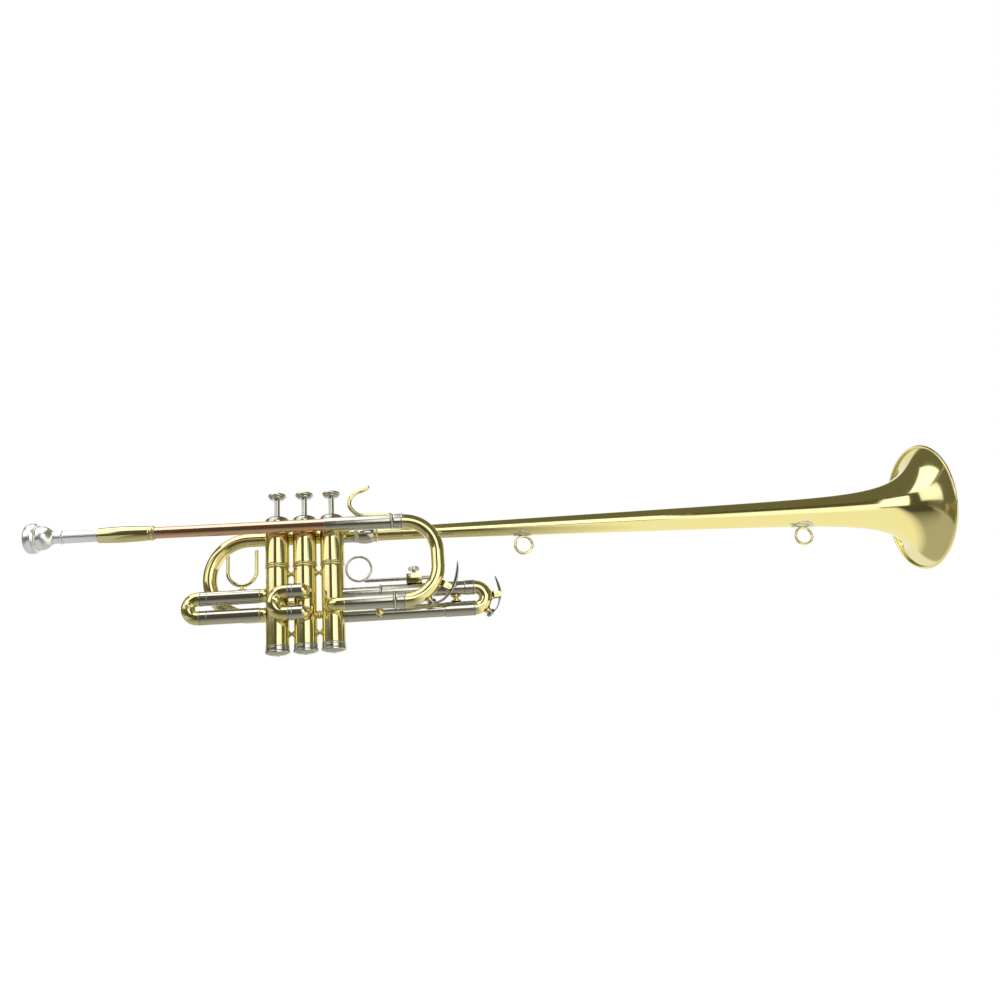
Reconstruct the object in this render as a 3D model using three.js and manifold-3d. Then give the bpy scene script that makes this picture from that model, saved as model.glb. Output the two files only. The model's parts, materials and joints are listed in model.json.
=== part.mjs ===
// Herald trumpet with three piston valves, in millimetres.
// +X runs along the tubing towards the bell, +Z up the valves, and -Y is the player's right.
// The origin lies on the middle valve's axis, where the left hand grips the casings.
import * as THREE from 'three';
import { mergeVertices } from 'three/addons/utils/BufferGeometryUtils.js';
import Module from 'manifold-3d';

const wasm = await Module();
wasm.setup();

// Clearances, overruns and the distance under which two corners are one
const gap = 0.3;
const overrun = 2;
const weld = 0.0001;

// Tubing
const tubeBore = 5.4;
const legRadius = 5.9;
const sleeveBore = legRadius + gap;
const sleeveRadius = 6.6;
const bowRadius = 6.4;
const ferruleRadius = 7.1;
const ferruleBore = bowRadius + gap;
const endRingRadius = 7.4;
const endRingWidth = 1.8;

// Planes of the wrap
const sideOffset = 18.6;
const leadHeight = 51.6;
const bellHeight = 49.9;

// Valve block
const valvePitch = 25.2;
const casingRadius = 10.7;
const upperCasingRadius = 11.2;
const casingBore = 8.9;
const casingRise = 62.4;
const casingDrop = 59.6;
const threadRadius = 10.4;
const topThreadStart = 56;
const bottomThreadRadius = 9.9;
const bottomThreadStart = 54.3;
const bandRadius = 11.6;
const bandWidth = 4.2;
const bandLow = 16;
const portRadius = 4.8;
const joinTubeRadius = 6.7;
const joinTubeDrop = 27.7;
const studRadius = 2.3;
const studRise = 10.8;
const studDrop = 44.8;
const guideRise = 20.5;
const guideHeight = 3;
const guideWidth = 2.6;

// Piston, stem and button
const stroke = 16.5;
const pistonRadius = casingBore - gap;
const pistonDrop = 42.5;
const barrelFloor = 16;
const barrelBore = 7.5;
const pistonRise = 61;
const barrelCeiling = 59;
const pistonCupRadius = 6.3;
const pistonCupDepth = 8;
const restPassageRadius = 4.2;
const pressedPassageRadius = 3.8;
const passageOverrun = 5;
const slotMargin = 0.8;
const spigotRadius = 1.9;
const spigotPlay = 0.35;
const stemRadius = 2.5;
const stemSeatRadius = 4.6;
const stemSeatThickness = 1.4;
const topCapCrown = 66.2;
const stemTop = topCapCrown + stroke;
const buttonSpigotLength = 3.4;
const buttonBase = stemTop + gap;
const buttonTierRadius = 6.9;
const buttonTierHeight = 2;
const buttonRadius = 8.6;
const buttonRimHeight = 2.8;
const buttonDome = 1.5;
const buttonInlayRadius = 5.6;
const buttonInlayDepth = 0.5;

// Valve spring
const springRadius = 6.2;
const springWire = 0.45;
const springTurns = 5;

// Valve caps
const capRadius = 12;
const capBore = threadRadius + gap;
const bottomCapBore = bottomThreadRadius + gap;
const topCapSkirt = 56.3;
const topCapShoulder = 61.2;
const topCapBulgeRadius = 10.4;
const topCapBulge = 64.6;
const topCapCrownRadius = 6;
const topCapCeiling = 64;
const topCapHole = stemRadius + 0.6;
const bottomSkirtRadius = 10.9;
const bottomFlangeRadius = 11.4;
const bottomCapSkirt = 54.6;
const bottomFlangeTop = 60;
const bottomFlangeLow = 61.4;
const bottomDome = 63.9;
const bottomDomeRadius = 5.5;
const bottomCapFloor = 60.2;
const ventRadius = 1.2;

// Mouthpiece: its outline as radii and distances from the rim
const shankLength = 87.5;
const shankEnd = -158;
const rimX = shankEnd - shankLength;
const mouthpieceOutline = [
  [11, 0],
  [13.2, 2],
  [13.8, 5.5],
  [13.6, 12.5],
  [12.4, 15],
  [10.6, 15.8],
  [10, 20],
  [8.4, 23.2],
  [5.6, 27.8],
  [5.6, 32.4],
  [6.3, 33],
  [6.3, 34.6],
  [5.6, 35.2],
];
const rimBite = 8.6;
const rimHeight = 1.6;
const cupDepth = 11.5;
const cupEdge = 1;
const throatRadius = 1.9;
const throatEnd = 20;
const shankRadius = 5.45;
const shankEndRadius = 4.95;
const backboreRadius = 4.1;

// Receiver and leadpipe
const receiverMouth = -180.6;
const receiverMouthRadius = 6.6;
const receiverShoulder = -175;
const receiverBelly = 7.35;
const receiverBellyX = -164;
const receiverNeck = 7.1;
const receiverNeckX = -146;
const receiverEndRadius = 6.3;
const receiverEnd = -133;
const shankPlay = 0.5;
const receiverMouthBore = shankRadius + shankPlay;
const receiverShankStop = shankEnd + gap;
const receiverStopBore = 4.5;
const leadStart = -150;
const leadStartRadius = 5.2;
const leadEndRadius = 5.8;
const leadEnd = 34;
const leadWall = 0.6;
const leadPlay = 0.4;

// Main tuning slide
const upperSleeveStart = 20.8;
const mainSleeveEnd = 83.2;
const lowerLegDrop = 22.7;
const mainLegStart = 39;
const mainFerruleEnd = 92;
const socketDepth = 4.6;
const mainBowStart = 92;
const mainBend = 30.8;
const knuckleRadius = 6.4;
const knuckleEnd = 37;
const mainSleeveBoreStart = 38;

// First valve slide
const firstUpperDrop = 8;
const firstLowerDrop = 25.3;
const firstSleeveEnd = -87.5;
const firstSleeveBoreStart = -41;
const firstLegStart = -45;
const firstBowStart = -96.4;
const knobNeckRadius = 1.5;
const knobHeadRadius = 3;
const knobReach = 2.6;
const knobHeadLength = 1.8;

// Second valve slide
const secondUpperDrop = 8.5;
const secondLowerDrop = 28.3;
const secondPortX = 0.8;
const secondSleeveStart = -9.1;
const secondSleeveEnd = 1.1;
const secondLegEnd = -1;
const secondBowStart = -13.9;

// Third valve slide
const thirdUpperDrop = 10.9;
const thirdLowerDrop = 30.5;
const thirdInnerEnd = 128;
const thirdOuterStart = 67.9;
const thirdSleeveEnd = 127;
const thirdSleeveBoreStart = 60;
const thirdLegStart = 64;
const thirdBowStart = 156;
const spoolX = 138.2;
const spoolRadius = 2.3;
const spoolFlange = 4.3;
const spoolFlangeHeight = 1.1;
const crossBraceX = 67.3;
const crossBraceRadius = 2;
const crossBraceBead = 3.2;
const crossBraceFront = -14;
const crossBraceFrontDrop = 27.3;
const crossBraceBack = -5.7;
const crossBraceBackDrop = 32.9;

// Finger ring, its rod, block and thumbscrew
const ringFromValve = 24.3;
const ringX = valvePitch + ringFromValve;
const ringRadius = 11.5;
const ringWire = 1.3;
const rodRadius = 1.6;
const rodHeight = 0.15;
const rodStart = 56;
const rodEnd = 115;
const ringPlane = -3;
const blockStart = 93;
const blockEnd = 107.6;
const blockFront = -7.2;
const blockBack = 1.2;
const blockTop = 4.3;
const blockBottom = -8;
const screwX = 100.2;
const screwRadius = 1.5;
const screwNeck = 2.3;
const screwHeadRadius = 5.2;
const screwHeadHeight = 4.3;
const screwHeadChamfer = 0.8;

// Thumb saddle
const saddleWire = 1.8;
const saddleLeft = -70.1;
const saddleRight = -44.1;
const saddleBottom = 2.6;
const saddleLeftTop = 30;
const saddleRightTop = 34;
const saddleFootLength = 9;
const saddleFootWidth = 5;

// Finger hook: its line as places along X and heights above the sleeve
const hookWire = 1.9;
const hookLine = [
  [80.4, 1],
  [53.5, 1],
  [50.4, 2.1],
  [46.9, 5],
  [44.1, 9],
  [43.4, 13.2],
  [44.7, 17.4],
  [47.7, 21.1],
  [52.2, 23.6],
  [57, 25.2],
  [60.9, 27.5],
];

// Brace between the leadpipe's sleeve and the bell's bow
const braceFromValve = 14.8;
const braceX = valvePitch + braceFromValve;
const braceRadius = 2.1;
const braceFlange = 4.4;
const braceFlangeLength = 3.4;

// Bell and its bow
const bellDepartX = -valvePitch;
const bellDepartDrop = 23;
const bellBowX = -90.2;
const bellElbow = 7;
const bellBowEnd = 55.4;
const bellTubeRadius = 6.6;
const bellBowWall = 1.1;
const bellStart = 56;
const coneStart = 110;
const coneSlope = 0.0195;
const bellSeam = 498;
const bellEnd = 622;
const bellRimRadius = 63.5;
const flareLength = 32;
const flarePower = 1.4;
const bellWall = 0.9;
const rimBead = 1.3;
const rimFlat = 1.5;
const bellFerruleRoom = 0.6;
const bellFerruleStart = braceX + braceFlange + bellFerruleRoom;
const bellFerruleEnd = 65.6;
const bellFerruleRadius = 7.5;
const bellFerruleBelly = 8.8;
const bellFerruleShoulder = 4;
const ferrulePlay = 0.5;

// Flag rings under the bell
const nearRingX = 208.2;
const nearPlateLength = 9.4;
const nearPlateWidth = 7.2;
const farRingX = 492;
const farPlateLength = 11.2;
const farPlateWidth = 9.8;
const flagRings = [
  { x: nearRingX, length: nearPlateLength, width: nearPlateWidth },
  { x: farRingX, length: farPlateLength, width: farPlateWidth },
];
const flagRingRadius = 8.4;
const flagWire = 1.35;
const flagPlateThickness = 1;

// Water keys: angles are measured round the bow's lower bend, from +X towards +Z
const mainNozzleAngle = -56;
const mainPivotAngle = -28;
const mainPivotReach = 7.7;
const mainTipAngle = 2.8;
const mainTipReach = 11.5;
const thirdNozzleAngle = -48;
const thirdPivotAngle = 4;
const thirdPivotReach = 6;
const thirdTipAngle = 43.5;
const thirdTipReach = 11.5;
const nozzleRadius = 3;
const nozzleBore = 1.5;
const nozzleHeight = 2.4;
const corkRadius = 3.9;
const corkHeight = 1.8;
const cupThickness = 1.2;
const cupRadius = 4.3;
const leverThickness = 1.5;
const leverWidth = 6;
const hubRadius = 1.9;
const pinRadius = 0.9;
const pinPlay = 0.4;
const coilWindow = 3.3;
const coilWindowWidth = 3.4;
const earThickness = 1.2;
const earRadius = 2.6;
const keyFootLength = 9;
const keyFootHeight = 2;
const keySpringRadius = 2.6;
const keySpringWire = 0.28;
const keySpringTurns = 2;
const keySpringPitch = 1.1;
const keySpringLeg = 1.2;

// Facets of the round pieces, and steps along a bend
const tubeSides = 12;
const valveSides = 16;
const bellSides = 24;
const wireSides = 6;
const portSides = 8;
const curlSteps = 8;
const curlSides = 5;
const bendSteps = 4;
const shortBendSteps = 3;

// Finishes
const lacqueredBrass = new THREE.MeshStandardMaterial({ color: 0xc9a53c, roughness: 0.16, metalness: 1 });
const roseBrass = new THREE.MeshStandardMaterial({ color: 0xb8643c, roughness: 0.2, metalness: 1 });
const nickelPlate = new THREE.MeshStandardMaterial({ color: 0xb4b2aa, roughness: 0.2, metalness: 1 });
const silverPlate = new THREE.MeshStandardMaterial({ color: 0xdcdcdc, roughness: 0.15, metalness: 1 });
const monelMetal = new THREE.MeshStandardMaterial({ color: 0x9c9a94, roughness: 0.35, metalness: 1 });
const springSteel = new THREE.MeshStandardMaterial({ color: 0x77777a, roughness: 0.35, metalness: 1 });
const corkStuff = new THREE.MeshStandardMaterial({ color: 0xa9784a, roughness: 0.9, metalness: 0 });

const trumpet = new THREE.Group();
trumpet.name = 'herald_trumpet';

const vec = (x, y, z) => new THREE.Vector3(x, y, z);

function addPiece(name, geometry, material, parent = trumpet) {
  const mesh = new THREE.Mesh(geometry, material);
  mesh.name = name;
  parent.add(mesh);
  return mesh;
}

// Signed volume of a closed triangle mesh
function signedVolume(position, index) {
  let sum = 0;
  const a = vec(0, 0, 0);
  const b = vec(0, 0, 0);
  const c = vec(0, 0, 0);
  for (let i = 0; i < index.length; i += 3) {
    a.fromBufferAttribute(position, index[i]);
    b.fromBufferAttribute(position, index[i + 1]);
    c.fromBufferAttribute(position, index[i + 2]);
    sum += a.dot(b.cross(c)) / 6;
  }
  return sum;
}

// Shared vertices, no collapsed triangles, and every face pointing out
function closed(geometry) {
  const bare = geometry.clone();
  bare.deleteAttribute('normal');
  bare.deleteAttribute('uv');
  const merged = mergeVertices(bare, weld);
  const kept = [];
  const index = merged.index.array;
  for (let i = 0; i < index.length; i += 3) {
    const [a, b, c] = [index[i], index[i + 1], index[i + 2]];
    if (a !== b && b !== c && c !== a) kept.push(a, b, c);
  }
  if (signedVolume(merged.attributes.position, kept) < 0) kept.reverse();
  merged.setIndex(kept);
  return merged;
}

function solid(geometry) {
  const shape = closed(geometry);
  const vertProperties = new Float32Array(shape.attributes.position.array);
  const triVerts = new Uint32Array(shape.index.array);
  return new wasm.Manifold(new wasm.Mesh({ numProp: 3, vertProperties, triVerts }));
}

function surface(manifold) {
  const mesh = manifold.getMesh();
  const geometry = new THREE.BufferGeometry();
  geometry.setAttribute('position', new THREE.BufferAttribute(new Float32Array(mesh.vertProperties), 3));
  geometry.setIndex(Array.from(mesh.triVerts));
  return geometry;
}

const joined = (...pieces) => pieces.map(solid).reduce((all, next) => all.add(next));
const cutBy = (body, ...tools) => tools.map(solid).reduce((left, tool) => left.subtract(tool), body);

// A turned solid. The profile holds [radius, distance along the axis] pairs.
function turned(profile, sides = tubeSides) {
  const onAxis = profile[0][0] === 0 && profile[profile.length - 1][0] === 0;
  const ring = onAxis ? profile : [...profile, profile[0]];
  return closed(new THREE.LatheGeometry(ring.map(([r, h]) => new THREE.Vector2(r, h)), sides));
}

const alongX = (geometry) => geometry.rotateZ(-Math.PI / 2);
const alongZ = (geometry) => geometry.rotateX(Math.PI / 2);

const turnedX = (profile, y, z, sides = tubeSides) => alongX(turned(profile, sides)).translate(0, y, z);
const turnedZ = (profile, sides = valveSides) => alongZ(turned(profile, sides));

const rodProfile = (radius, from, to) => [[0, from], [radius, from], [radius, to], [0, to]];
const pipeProfile = (radius, bore, from, to) => [[bore, from], [radius, from], [radius, to], [bore, to]];

function rodX(radius, from, to, y, z, sides = tubeSides) {
  return turnedX(rodProfile(radius, Math.min(from, to), Math.max(from, to)), y, z, sides);
}

function rodY(radius, from, to, x, z, sides = tubeSides) {
  return turned(rodProfile(radius, from, to), sides).translate(x, 0, z);
}

function rodZ(radius, from, to, x, y, sides = valveSides) {
  return turnedZ(rodProfile(radius, from, to), sides).translate(x, y, 0);
}

// A rod from one point to another
function rodBetween(radius, from, to, sides = wireSides) {
  const span = to.clone().sub(from);
  const rod = turned(rodProfile(radius, 0, span.length()), sides);
  rod.applyQuaternion(new THREE.Quaternion().setFromUnitVectors(vec(0, 1, 0), span.normalize()));
  return rod.translate(from.x, from.y, from.z);
}

function box(x0, x1, y0, y1, z0, z1) {
  const geometry = new THREE.BoxGeometry(x1 - x0, y1 - y0, z1 - z0);
  return geometry.translate((x0 + x1) / 2, (y0 + y1) / 2, (z0 + z1) / 2);
}

// A path that is sampled exactly at its own stations
class StationPath extends THREE.Curve {
  constructor(points, tangents) {
    super();
    this.points = points;
    this.tangents = tangents;
  }

  getPointAt(share) {
    return this.points[Math.round(share * (this.points.length - 1))].clone();
  }

  getTangentAt(share) {
    return this.tangents[Math.round(share * (this.points.length - 1))].clone();
  }
}

// The way along a row of points at each of them
function tangentsOf(points) {
  return points.map((point, i) => {
    const before = points[Math.max(i - 1, 0)];
    const after = points[Math.min(i + 1, points.length - 1)];
    return after.clone().sub(before).normalize();
  });
}

// Straight runs through the corners, with a round bend at each inner corner
function route(corners, bends, steps = bendSteps) {
  const points = [];
  const tangents = [];
  const put = (point, tangent) => {
    const last = points[points.length - 1];
    if (last && last.distanceTo(point) < gap / 10) return;
    points.push(point);
    tangents.push(tangent.clone().normalize());
  };
  put(corners[0], corners[1].clone().sub(corners[0]));
  for (let i = 1; i < corners.length - 1; i += 1) {
    const inward = corners[i].clone().sub(corners[i - 1]).normalize();
    const outward = corners[i + 1].clone().sub(corners[i]).normalize();
    const angle = inward.angleTo(outward);
    const reach = bends[i - 1] * Math.tan(angle / 2);
    const start = corners[i].clone().addScaledVector(inward, -reach);
    const side = outward.clone().addScaledVector(inward, -Math.cos(angle)).normalize();
    for (let s = 0; s <= steps; s += 1) {
      const turn = (angle * s) / steps;
      const point = start.clone().addScaledVector(inward, bends[i - 1] * Math.sin(turn));
      point.addScaledVector(side, bends[i - 1] * (1 - Math.cos(turn)));
      const tangent = inward.clone().multiplyScalar(Math.cos(turn)).addScaledVector(side, Math.sin(turn));
      put(point, tangent);
    }
  }
  const end = corners[corners.length - 1];
  put(end, end.clone().sub(corners[corners.length - 2]));
  return new StationPath(points, tangents);
}

function swept(path, radius, bore = 0, sides = tubeSides) {
  const section = new THREE.Shape();
  section.absarc(0, 0, radius, 0, Math.PI * 2);
  if (bore > 0) {
    const hollow = new THREE.Path();
    hollow.absarc(0, 0, bore, 0, Math.PI * 2);
    section.holes.push(hollow);
  }
  const steps = path.points.length - 1;
  return closed(new THREE.ExtrudeGeometry(section, { steps, extrudePath: path, curveSegments: sides / 2 }));
}

// The casing's wall with its clearance, for the ends of tubes soldered to it
const casingCutter = (x) => rodZ(casingRadius + gap, -casingDrop, casingRise, x, 0);

// A wound wire round the Z axis, with its least gap to itself measured and printed
function coil(name, radius, wire, turns, height) {
  const count = turns * curlSteps;
  const points = [];
  for (let i = 0; i <= count; i += 1) {
    const turn = (2 * Math.PI * i) / curlSteps;
    points.push(vec(radius * Math.cos(turn), radius * Math.sin(turn), (height * i) / count));
  }
  let least = Infinity;
  for (let i = 0; i <= count; i += 1) {
    for (let j = i + curlSteps - 2; j <= count; j += 1) {
      least = Math.min(least, points[i].distanceTo(points[j]));
    }
  }
  console.log(`${name}: least gap between curls ${(least - 2 * wire).toFixed(2)} mm`);
  return points;
}

function coilSolid(points, wire) {
  const section = new THREE.Shape();
  for (let i = 0; i < curlSides; i += 1) {
    const turn = (2 * Math.PI * i) / curlSides;
    const [x, y] = [wire * Math.cos(turn), wire * Math.sin(turn)];
    if (i === 0) section.moveTo(x, y);
    else section.lineTo(x, y);
  }
  const extrudePath = new StationPath(points, tangentsOf(points));
  return closed(new THREE.ExtrudeGeometry(section, { steps: points.length - 1, extrudePath }));
}

// Mouthpiece: rim, cup, throat and backbore in one turned piece
function mouthpiece() {
  const outline = mouthpieceOutline.map(([r, inset]) => [r, rimX + inset]);
  const bowlShares = [[0.9, 0.38], [0.7, 0.66], [0.35, 0.93]];
  const bowl = bowlShares.map(([deep, wide]) => [rimBite * wide, rimX + rimHeight + cupDepth * deep]);
  const profile = [
    ...outline,
    [shankEndRadius, shankEnd],
    [backboreRadius, shankEnd],
    [throatRadius, rimX + throatEnd],
    [throatRadius, rimX + rimHeight + cupDepth + cupEdge],
    ...bowl,
    [rimBite, rimX + rimHeight],
  ];
  addPiece('mouthpiece', turnedX(profile, -sideOffset, leadHeight, tubeSides + 4), silverPlate);
}

// Receiver: the barrel that holds the mouthpiece's shank and the leadpipe's end
function receiver() {
  const profile = [
    [receiverMouthBore, receiverMouth],
    [receiverMouthRadius, receiverMouth],
    [receiverMouthRadius + gap, receiverShoulder],
    [receiverBelly, receiverBellyX],
    [receiverNeck, receiverNeckX],
    [receiverEndRadius, receiverEnd],
    [leadStartRadius + leadPlay, receiverEnd],
    [leadStartRadius + leadPlay, leadStart - gap],
    [receiverStopBore, leadStart - gap],
    [receiverStopBore, receiverShankStop],
    [shankEndRadius + shankPlay, receiverShankStop],
  ];
  addPiece('mouthpiece_receiver', turnedX(profile, -sideOffset, leadHeight), lacqueredBrass);
}

function leadpipe() {
  const profile = [
    [leadStartRadius - leadWall, leadStart],
    [leadStartRadius, leadStart],
    [leadEndRadius, upperSleeveStart],
    [leadEndRadius, leadEnd],
    [leadEndRadius - leadWall, leadEnd],
  ];
  addPiece('leadpipe', turnedX(profile, -sideOffset, leadHeight), roseBrass);
}

// A sleeve with a ring at its open end
function sleeveProfile(from, to, openEnd) {
  const inward = openEnd > from ? -1 : 1;
  const ringStart = openEnd + inward * endRingWidth;
  const shut = openEnd === to ? from : to;
  return [
    [sleeveBore, shut],
    [sleeveRadius, shut],
    [sleeveRadius, ringStart],
    [endRingRadius, ringStart],
    [endRingRadius, openEnd],
    [sleeveBore, openEnd],
  ];
}

// A slide's leg: inner tube, then a ferrule whose socket takes the bow's end
function legProfile(legEnd, ferruleStart, bowStart) {
  const sign = Math.sign(bowStart - legEnd);
  const socket = bowStart - sign * socketDepth;
  return [
    [tubeBore, legEnd],
    [legRadius, legEnd],
    [legRadius, ferruleStart],
    [ferruleRadius, ferruleStart],
    [ferruleRadius, bowStart],
    [ferruleBore, bowStart],
    [ferruleBore, socket],
    [tubeBore, socket],
  ];
}

// The bow of a slide: in along one leg, round two bends and back along the other
function bowPath(start, end, bend, y, upper, lower) {
  const far = end + Math.sign(end - start) * bend;
  const corners = [vec(start, y, upper), vec(far, y, upper), vec(far, y, lower), vec(start, y, lower)];
  return route(corners, [bend, bend], bend > 2 * bowRadius ? bendSteps : shortBendSteps);
}

// A tight cast elbow from a leg along X to a port along Y in a casing
function knuckle(portX, legEnd, height, valveX) {
  const corner = new THREE.SphereGeometry(knuckleRadius, tubeSides, tubeSides / 2);
  corner.rotateZ(Math.PI / 2).translate(portX, -sideOffset, height);
  const leg = rodX(knuckleRadius, portX, legEnd, -sideOffset, height);
  const port = rodY(knuckleRadius, -sideOffset, -casingBore, portX, height);
  return { outer: joined(corner, leg, port), tools: [
    rodX(tubeBore, portX, legEnd, -sideOffset, height),
    rodY(tubeBore, -sideOffset, -casingBore + overrun, portX, height),
    new THREE.SphereGeometry(tubeBore, tubeSides, tubeSides / 2).translate(portX, -sideOffset, height),
    casingCutter(valveX),
  ] };
}

function mainTuningSlide(slide) {
  const y = -sideOffset;
  const upperSleeve = sleeveProfile(upperSleeveStart, mainSleeveEnd, mainSleeveEnd);
  addPiece('tuning_upper_sleeve', turnedX(upperSleeve, y, leadHeight), nickelPlate);
  const { outer, tools } = knuckle(valvePitch, knuckleEnd + overrun, -lowerLegDrop, valvePitch);
  const endRing = pipeProfile(endRingRadius, sleeveBore, mainSleeveEnd - endRingWidth, mainSleeveEnd);
  const lowerSleeve = outer
    .add(solid(turnedX(pipeProfile(sleeveRadius, tubeBore, knuckleEnd, mainSleeveEnd), y, -lowerLegDrop)))
    .add(solid(turnedX(endRing, y, -lowerLegDrop)));
  const counterbore = rodX(sleeveBore, mainSleeveBoreStart, mainSleeveEnd + overrun, y, -lowerLegDrop);
  addPiece('tuning_lower_sleeve', surface(cutBy(lowerSleeve, ...tools, counterbore)), nickelPlate);
  const leg = legProfile(mainLegStart, mainSleeveEnd + gap, mainFerruleEnd);
  addPiece('tuning_upper_leg', turnedX(leg, y, leadHeight), nickelPlate, slide);
  addPiece('tuning_lower_leg', turnedX(leg, y, -lowerLegDrop), nickelPlate, slide);
  const bowEnd = mainBowStart - socketDepth + gap;
  const path = bowPath(bowEnd, mainBowStart, mainBend, y, leadHeight, -lowerLegDrop);
  const centre = { x: mainBowStart, y, z: -lowerLegDrop + mainBend, bend: mainBend };
  addPiece('tuning_bow', drilledBow(path, centre, mainNozzleAngle), lacqueredBrass, slide);
  waterKey('tuning_key', slide, centre, path, {
    nozzle: mainNozzleAngle, pivot: mainPivotAngle, pivotReach: mainPivotReach,
    tip: mainTipAngle, tipReach: mainTipReach,
  });
}

const polar = (centre, degrees, radius) => {
  const turn = THREE.MathUtils.degToRad(degrees);
  return vec(centre.x + radius * Math.cos(turn), centre.y, centre.z + radius * Math.sin(turn));
};

// A bow with a water key's nozzle standing on its lower bend
function drilledBow(path, centre, angle) {
  const base = polar(centre, angle, centre.bend + tubeBore);
  const top = polar(centre, angle, centre.bend + bowRadius + nozzleHeight);
  const past = polar(centre, angle, centre.bend + bowRadius + nozzleHeight + overrun);
  const middle = polar(centre, angle, centre.bend);
  const nozzle = rodBetween(nozzleRadius, base, top, wireSides + 4);
  const outer = joined(swept(path, bowRadius), nozzle);
  const airway = longer(path);
  return surface(cutBy(outer, swept(airway, tubeBore), rodBetween(nozzleBore, middle, past)));
}

// The same path with both ends run on, for boring it through
function longer(path) {
  const points = path.points.map((point) => point.clone());
  const last = points.length - 1;
  points[0].addScaledVector(path.tangents[0], -overrun);
  points[last].addScaledVector(path.tangents[last], overrun);
  return new StationPath(points, path.tangents);
}

// Water key: saddle with its pin, sprung lever with a cup, and the cork that shuts the nozzle
function waterKey(name, parent, centre, path, key) {
  const surfaceRadius = centre.bend + bowRadius;
  const corkFoot = surfaceRadius + nozzleHeight + gap;
  const cupFoot = corkFoot + corkHeight + gap;
  const cupTop = cupFoot + cupThickness;
  const pivot = polar(centre, key.pivot, surfaceRadius + key.pivotReach);
  const tip = polar(centre, key.tip, surfaceRadius + key.tipReach);
  const cup = polar(centre, key.nozzle, cupTop);
  const ear = leverWidth / 2 + gap;
  const cork = rodBetween(corkRadius, polar(centre, key.nozzle, corkFoot),
    polar(centre, key.nozzle, corkFoot + corkHeight), wireSides + 4);
  addPiece(`${name}_saddle`, keySaddle(centre, path, pivot, key.pivot, ear), nickelPlate, parent);
  const lever = keyLever(centre, key, pivot, tip, cup, cupFoot, cupTop);
  addPiece(`${name}_lever`, lever, nickelPlate, parent);
  addPiece(`${name}_cork`, cork, corkStuff, parent);
  addPiece(`${name}_spring`, keySpring(`${name}_spring`, pivot), springSteel, parent);
}

function keySaddle(centre, path, pivot, angle, ear) {
  const surfaceRadius = centre.bend + bowRadius;
  const width = ear + earThickness;
  const foot = box(-keyFootHeight, keyFootHeight, -width, width, -keyFootLength / 2, keyFootLength / 2);
  const reach = pivot.distanceTo(polar(centre, angle, surfaceRadius));
  foot.translate(surfaceRadius, 0, 0);
  const ears = [-1, 1].flatMap((side) => {
    const near = Math.min(side * ear, side * width);
    const far = Math.max(side * ear, side * width);
    const plate = box(surfaceRadius, surfaceRadius + reach, near, far, -earRadius, earRadius);
    return [plate, rodY(earRadius, near, far, surfaceRadius + reach, 0, wireSides + 2)];
  });
  const pinEnd = width + earThickness / 2;
  const pin = rodY(pinRadius, -pinEnd, pinEnd, surfaceRadius + reach, 0, wireSides + 2);
  const placed = [foot, ...ears, pin].map((piece) => {
    piece.rotateY(-THREE.MathUtils.degToRad(angle));
    return piece.translate(centre.x, centre.y, centre.z);
  });
  return surface(cutBy(joined(...placed), swept(path, bowRadius + gap)));
}

function keyLever(centre, key, pivot, tip, cup, cupFoot, cupTop) {
  const flat = (point) => new THREE.Vector2(point.x, point.z);
  const halfway = (key.nozzle + key.pivot) / 2;
  const low = polar(centre, halfway, cupTop / Math.cos(THREE.MathUtils.degToRad(halfway - key.nozzle)));
  const curve = new THREE.SplineCurve([flat(cup), flat(low), flat(pivot), flat(tip)]);
  const count = wireSides + 2;
  const near = [];
  const far = [];
  for (let i = 0; i <= count; i += 1) {
    const point = curve.getPoint(i / count);
    const along = curve.getTangent(i / count);
    const normal = new THREE.Vector2(-along.y, along.x).multiplyScalar(leverThickness / 2);
    near.push(point.clone().add(normal));
    far.unshift(point.clone().sub(normal));
  }
  const outline = new THREE.Shape([...near, ...far]);
  const strip = new THREE.ExtrudeGeometry(outline, { depth: leverWidth, bevelEnabled: false });
  strip.rotateX(Math.PI / 2).translate(0, centre.y + leverWidth / 2, 0);
  const plateFoot = polar(centre, key.nozzle, cupFoot);
  const plate = rodBetween(cupRadius, plateFoot, polar(centre, key.nozzle, cupTop), wireSides + 4);
  const acrossPivot = (radius, half, sides) => {
    return rodY(radius, centre.y - half, centre.y + half, pivot.x, pivot.z, sides);
  };
  const coilRoom = acrossPivot(coilWindow, coilWindowWidth / 2, wireSides + 4);
  const hub = acrossPivot(hubRadius, leverWidth / 2, wireSides + 2);
  const pinHole = acrossPivot(pinRadius + pinPlay, leverWidth, wireSides + 2);
  const body = cutBy(joined(strip, plate), coilRoom).add(solid(hub));
  return surface(cutBy(body, pinHole));
}

function keySpring(name, pivot) {
  const height = keySpringTurns * keySpringPitch;
  const points = coil(name, keySpringRadius, keySpringWire, keySpringTurns, height);
  const wound = points.map((point) => vec(point.x, point.z - height / 2, point.y));
  const leg = (from, to) => from.clone().add(from.clone().sub(to).setLength(keySpringLeg));
  const last = wound.length - 1;
  const first = leg(wound[0], wound[1]);
  const end = leg(wound[last], wound[last - 1]);
  first.y = wound[0].y;
  end.y = wound[last].y;
  return coilSolid([first, ...wound, end], keySpringWire).translate(pivot.x, pivot.y, pivot.z);
}

// Finger hook on the upper sleeve
function fingerHook() {
  const points = hookLine.map(([x, rise]) => vec(x, -sideOffset, leadHeight + sleeveRadius + rise));
  const wire = swept(new StationPath(points, tangentsOf(points)), hookWire, 0, wireSides);
  const seat = rodX(sleeveRadius + gap, upperSleeveStart, mainSleeveEnd, -sideOffset, leadHeight);
  addPiece('finger_hook', surface(cutBy(solid(wire), seat)), lacqueredBrass);
}

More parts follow.
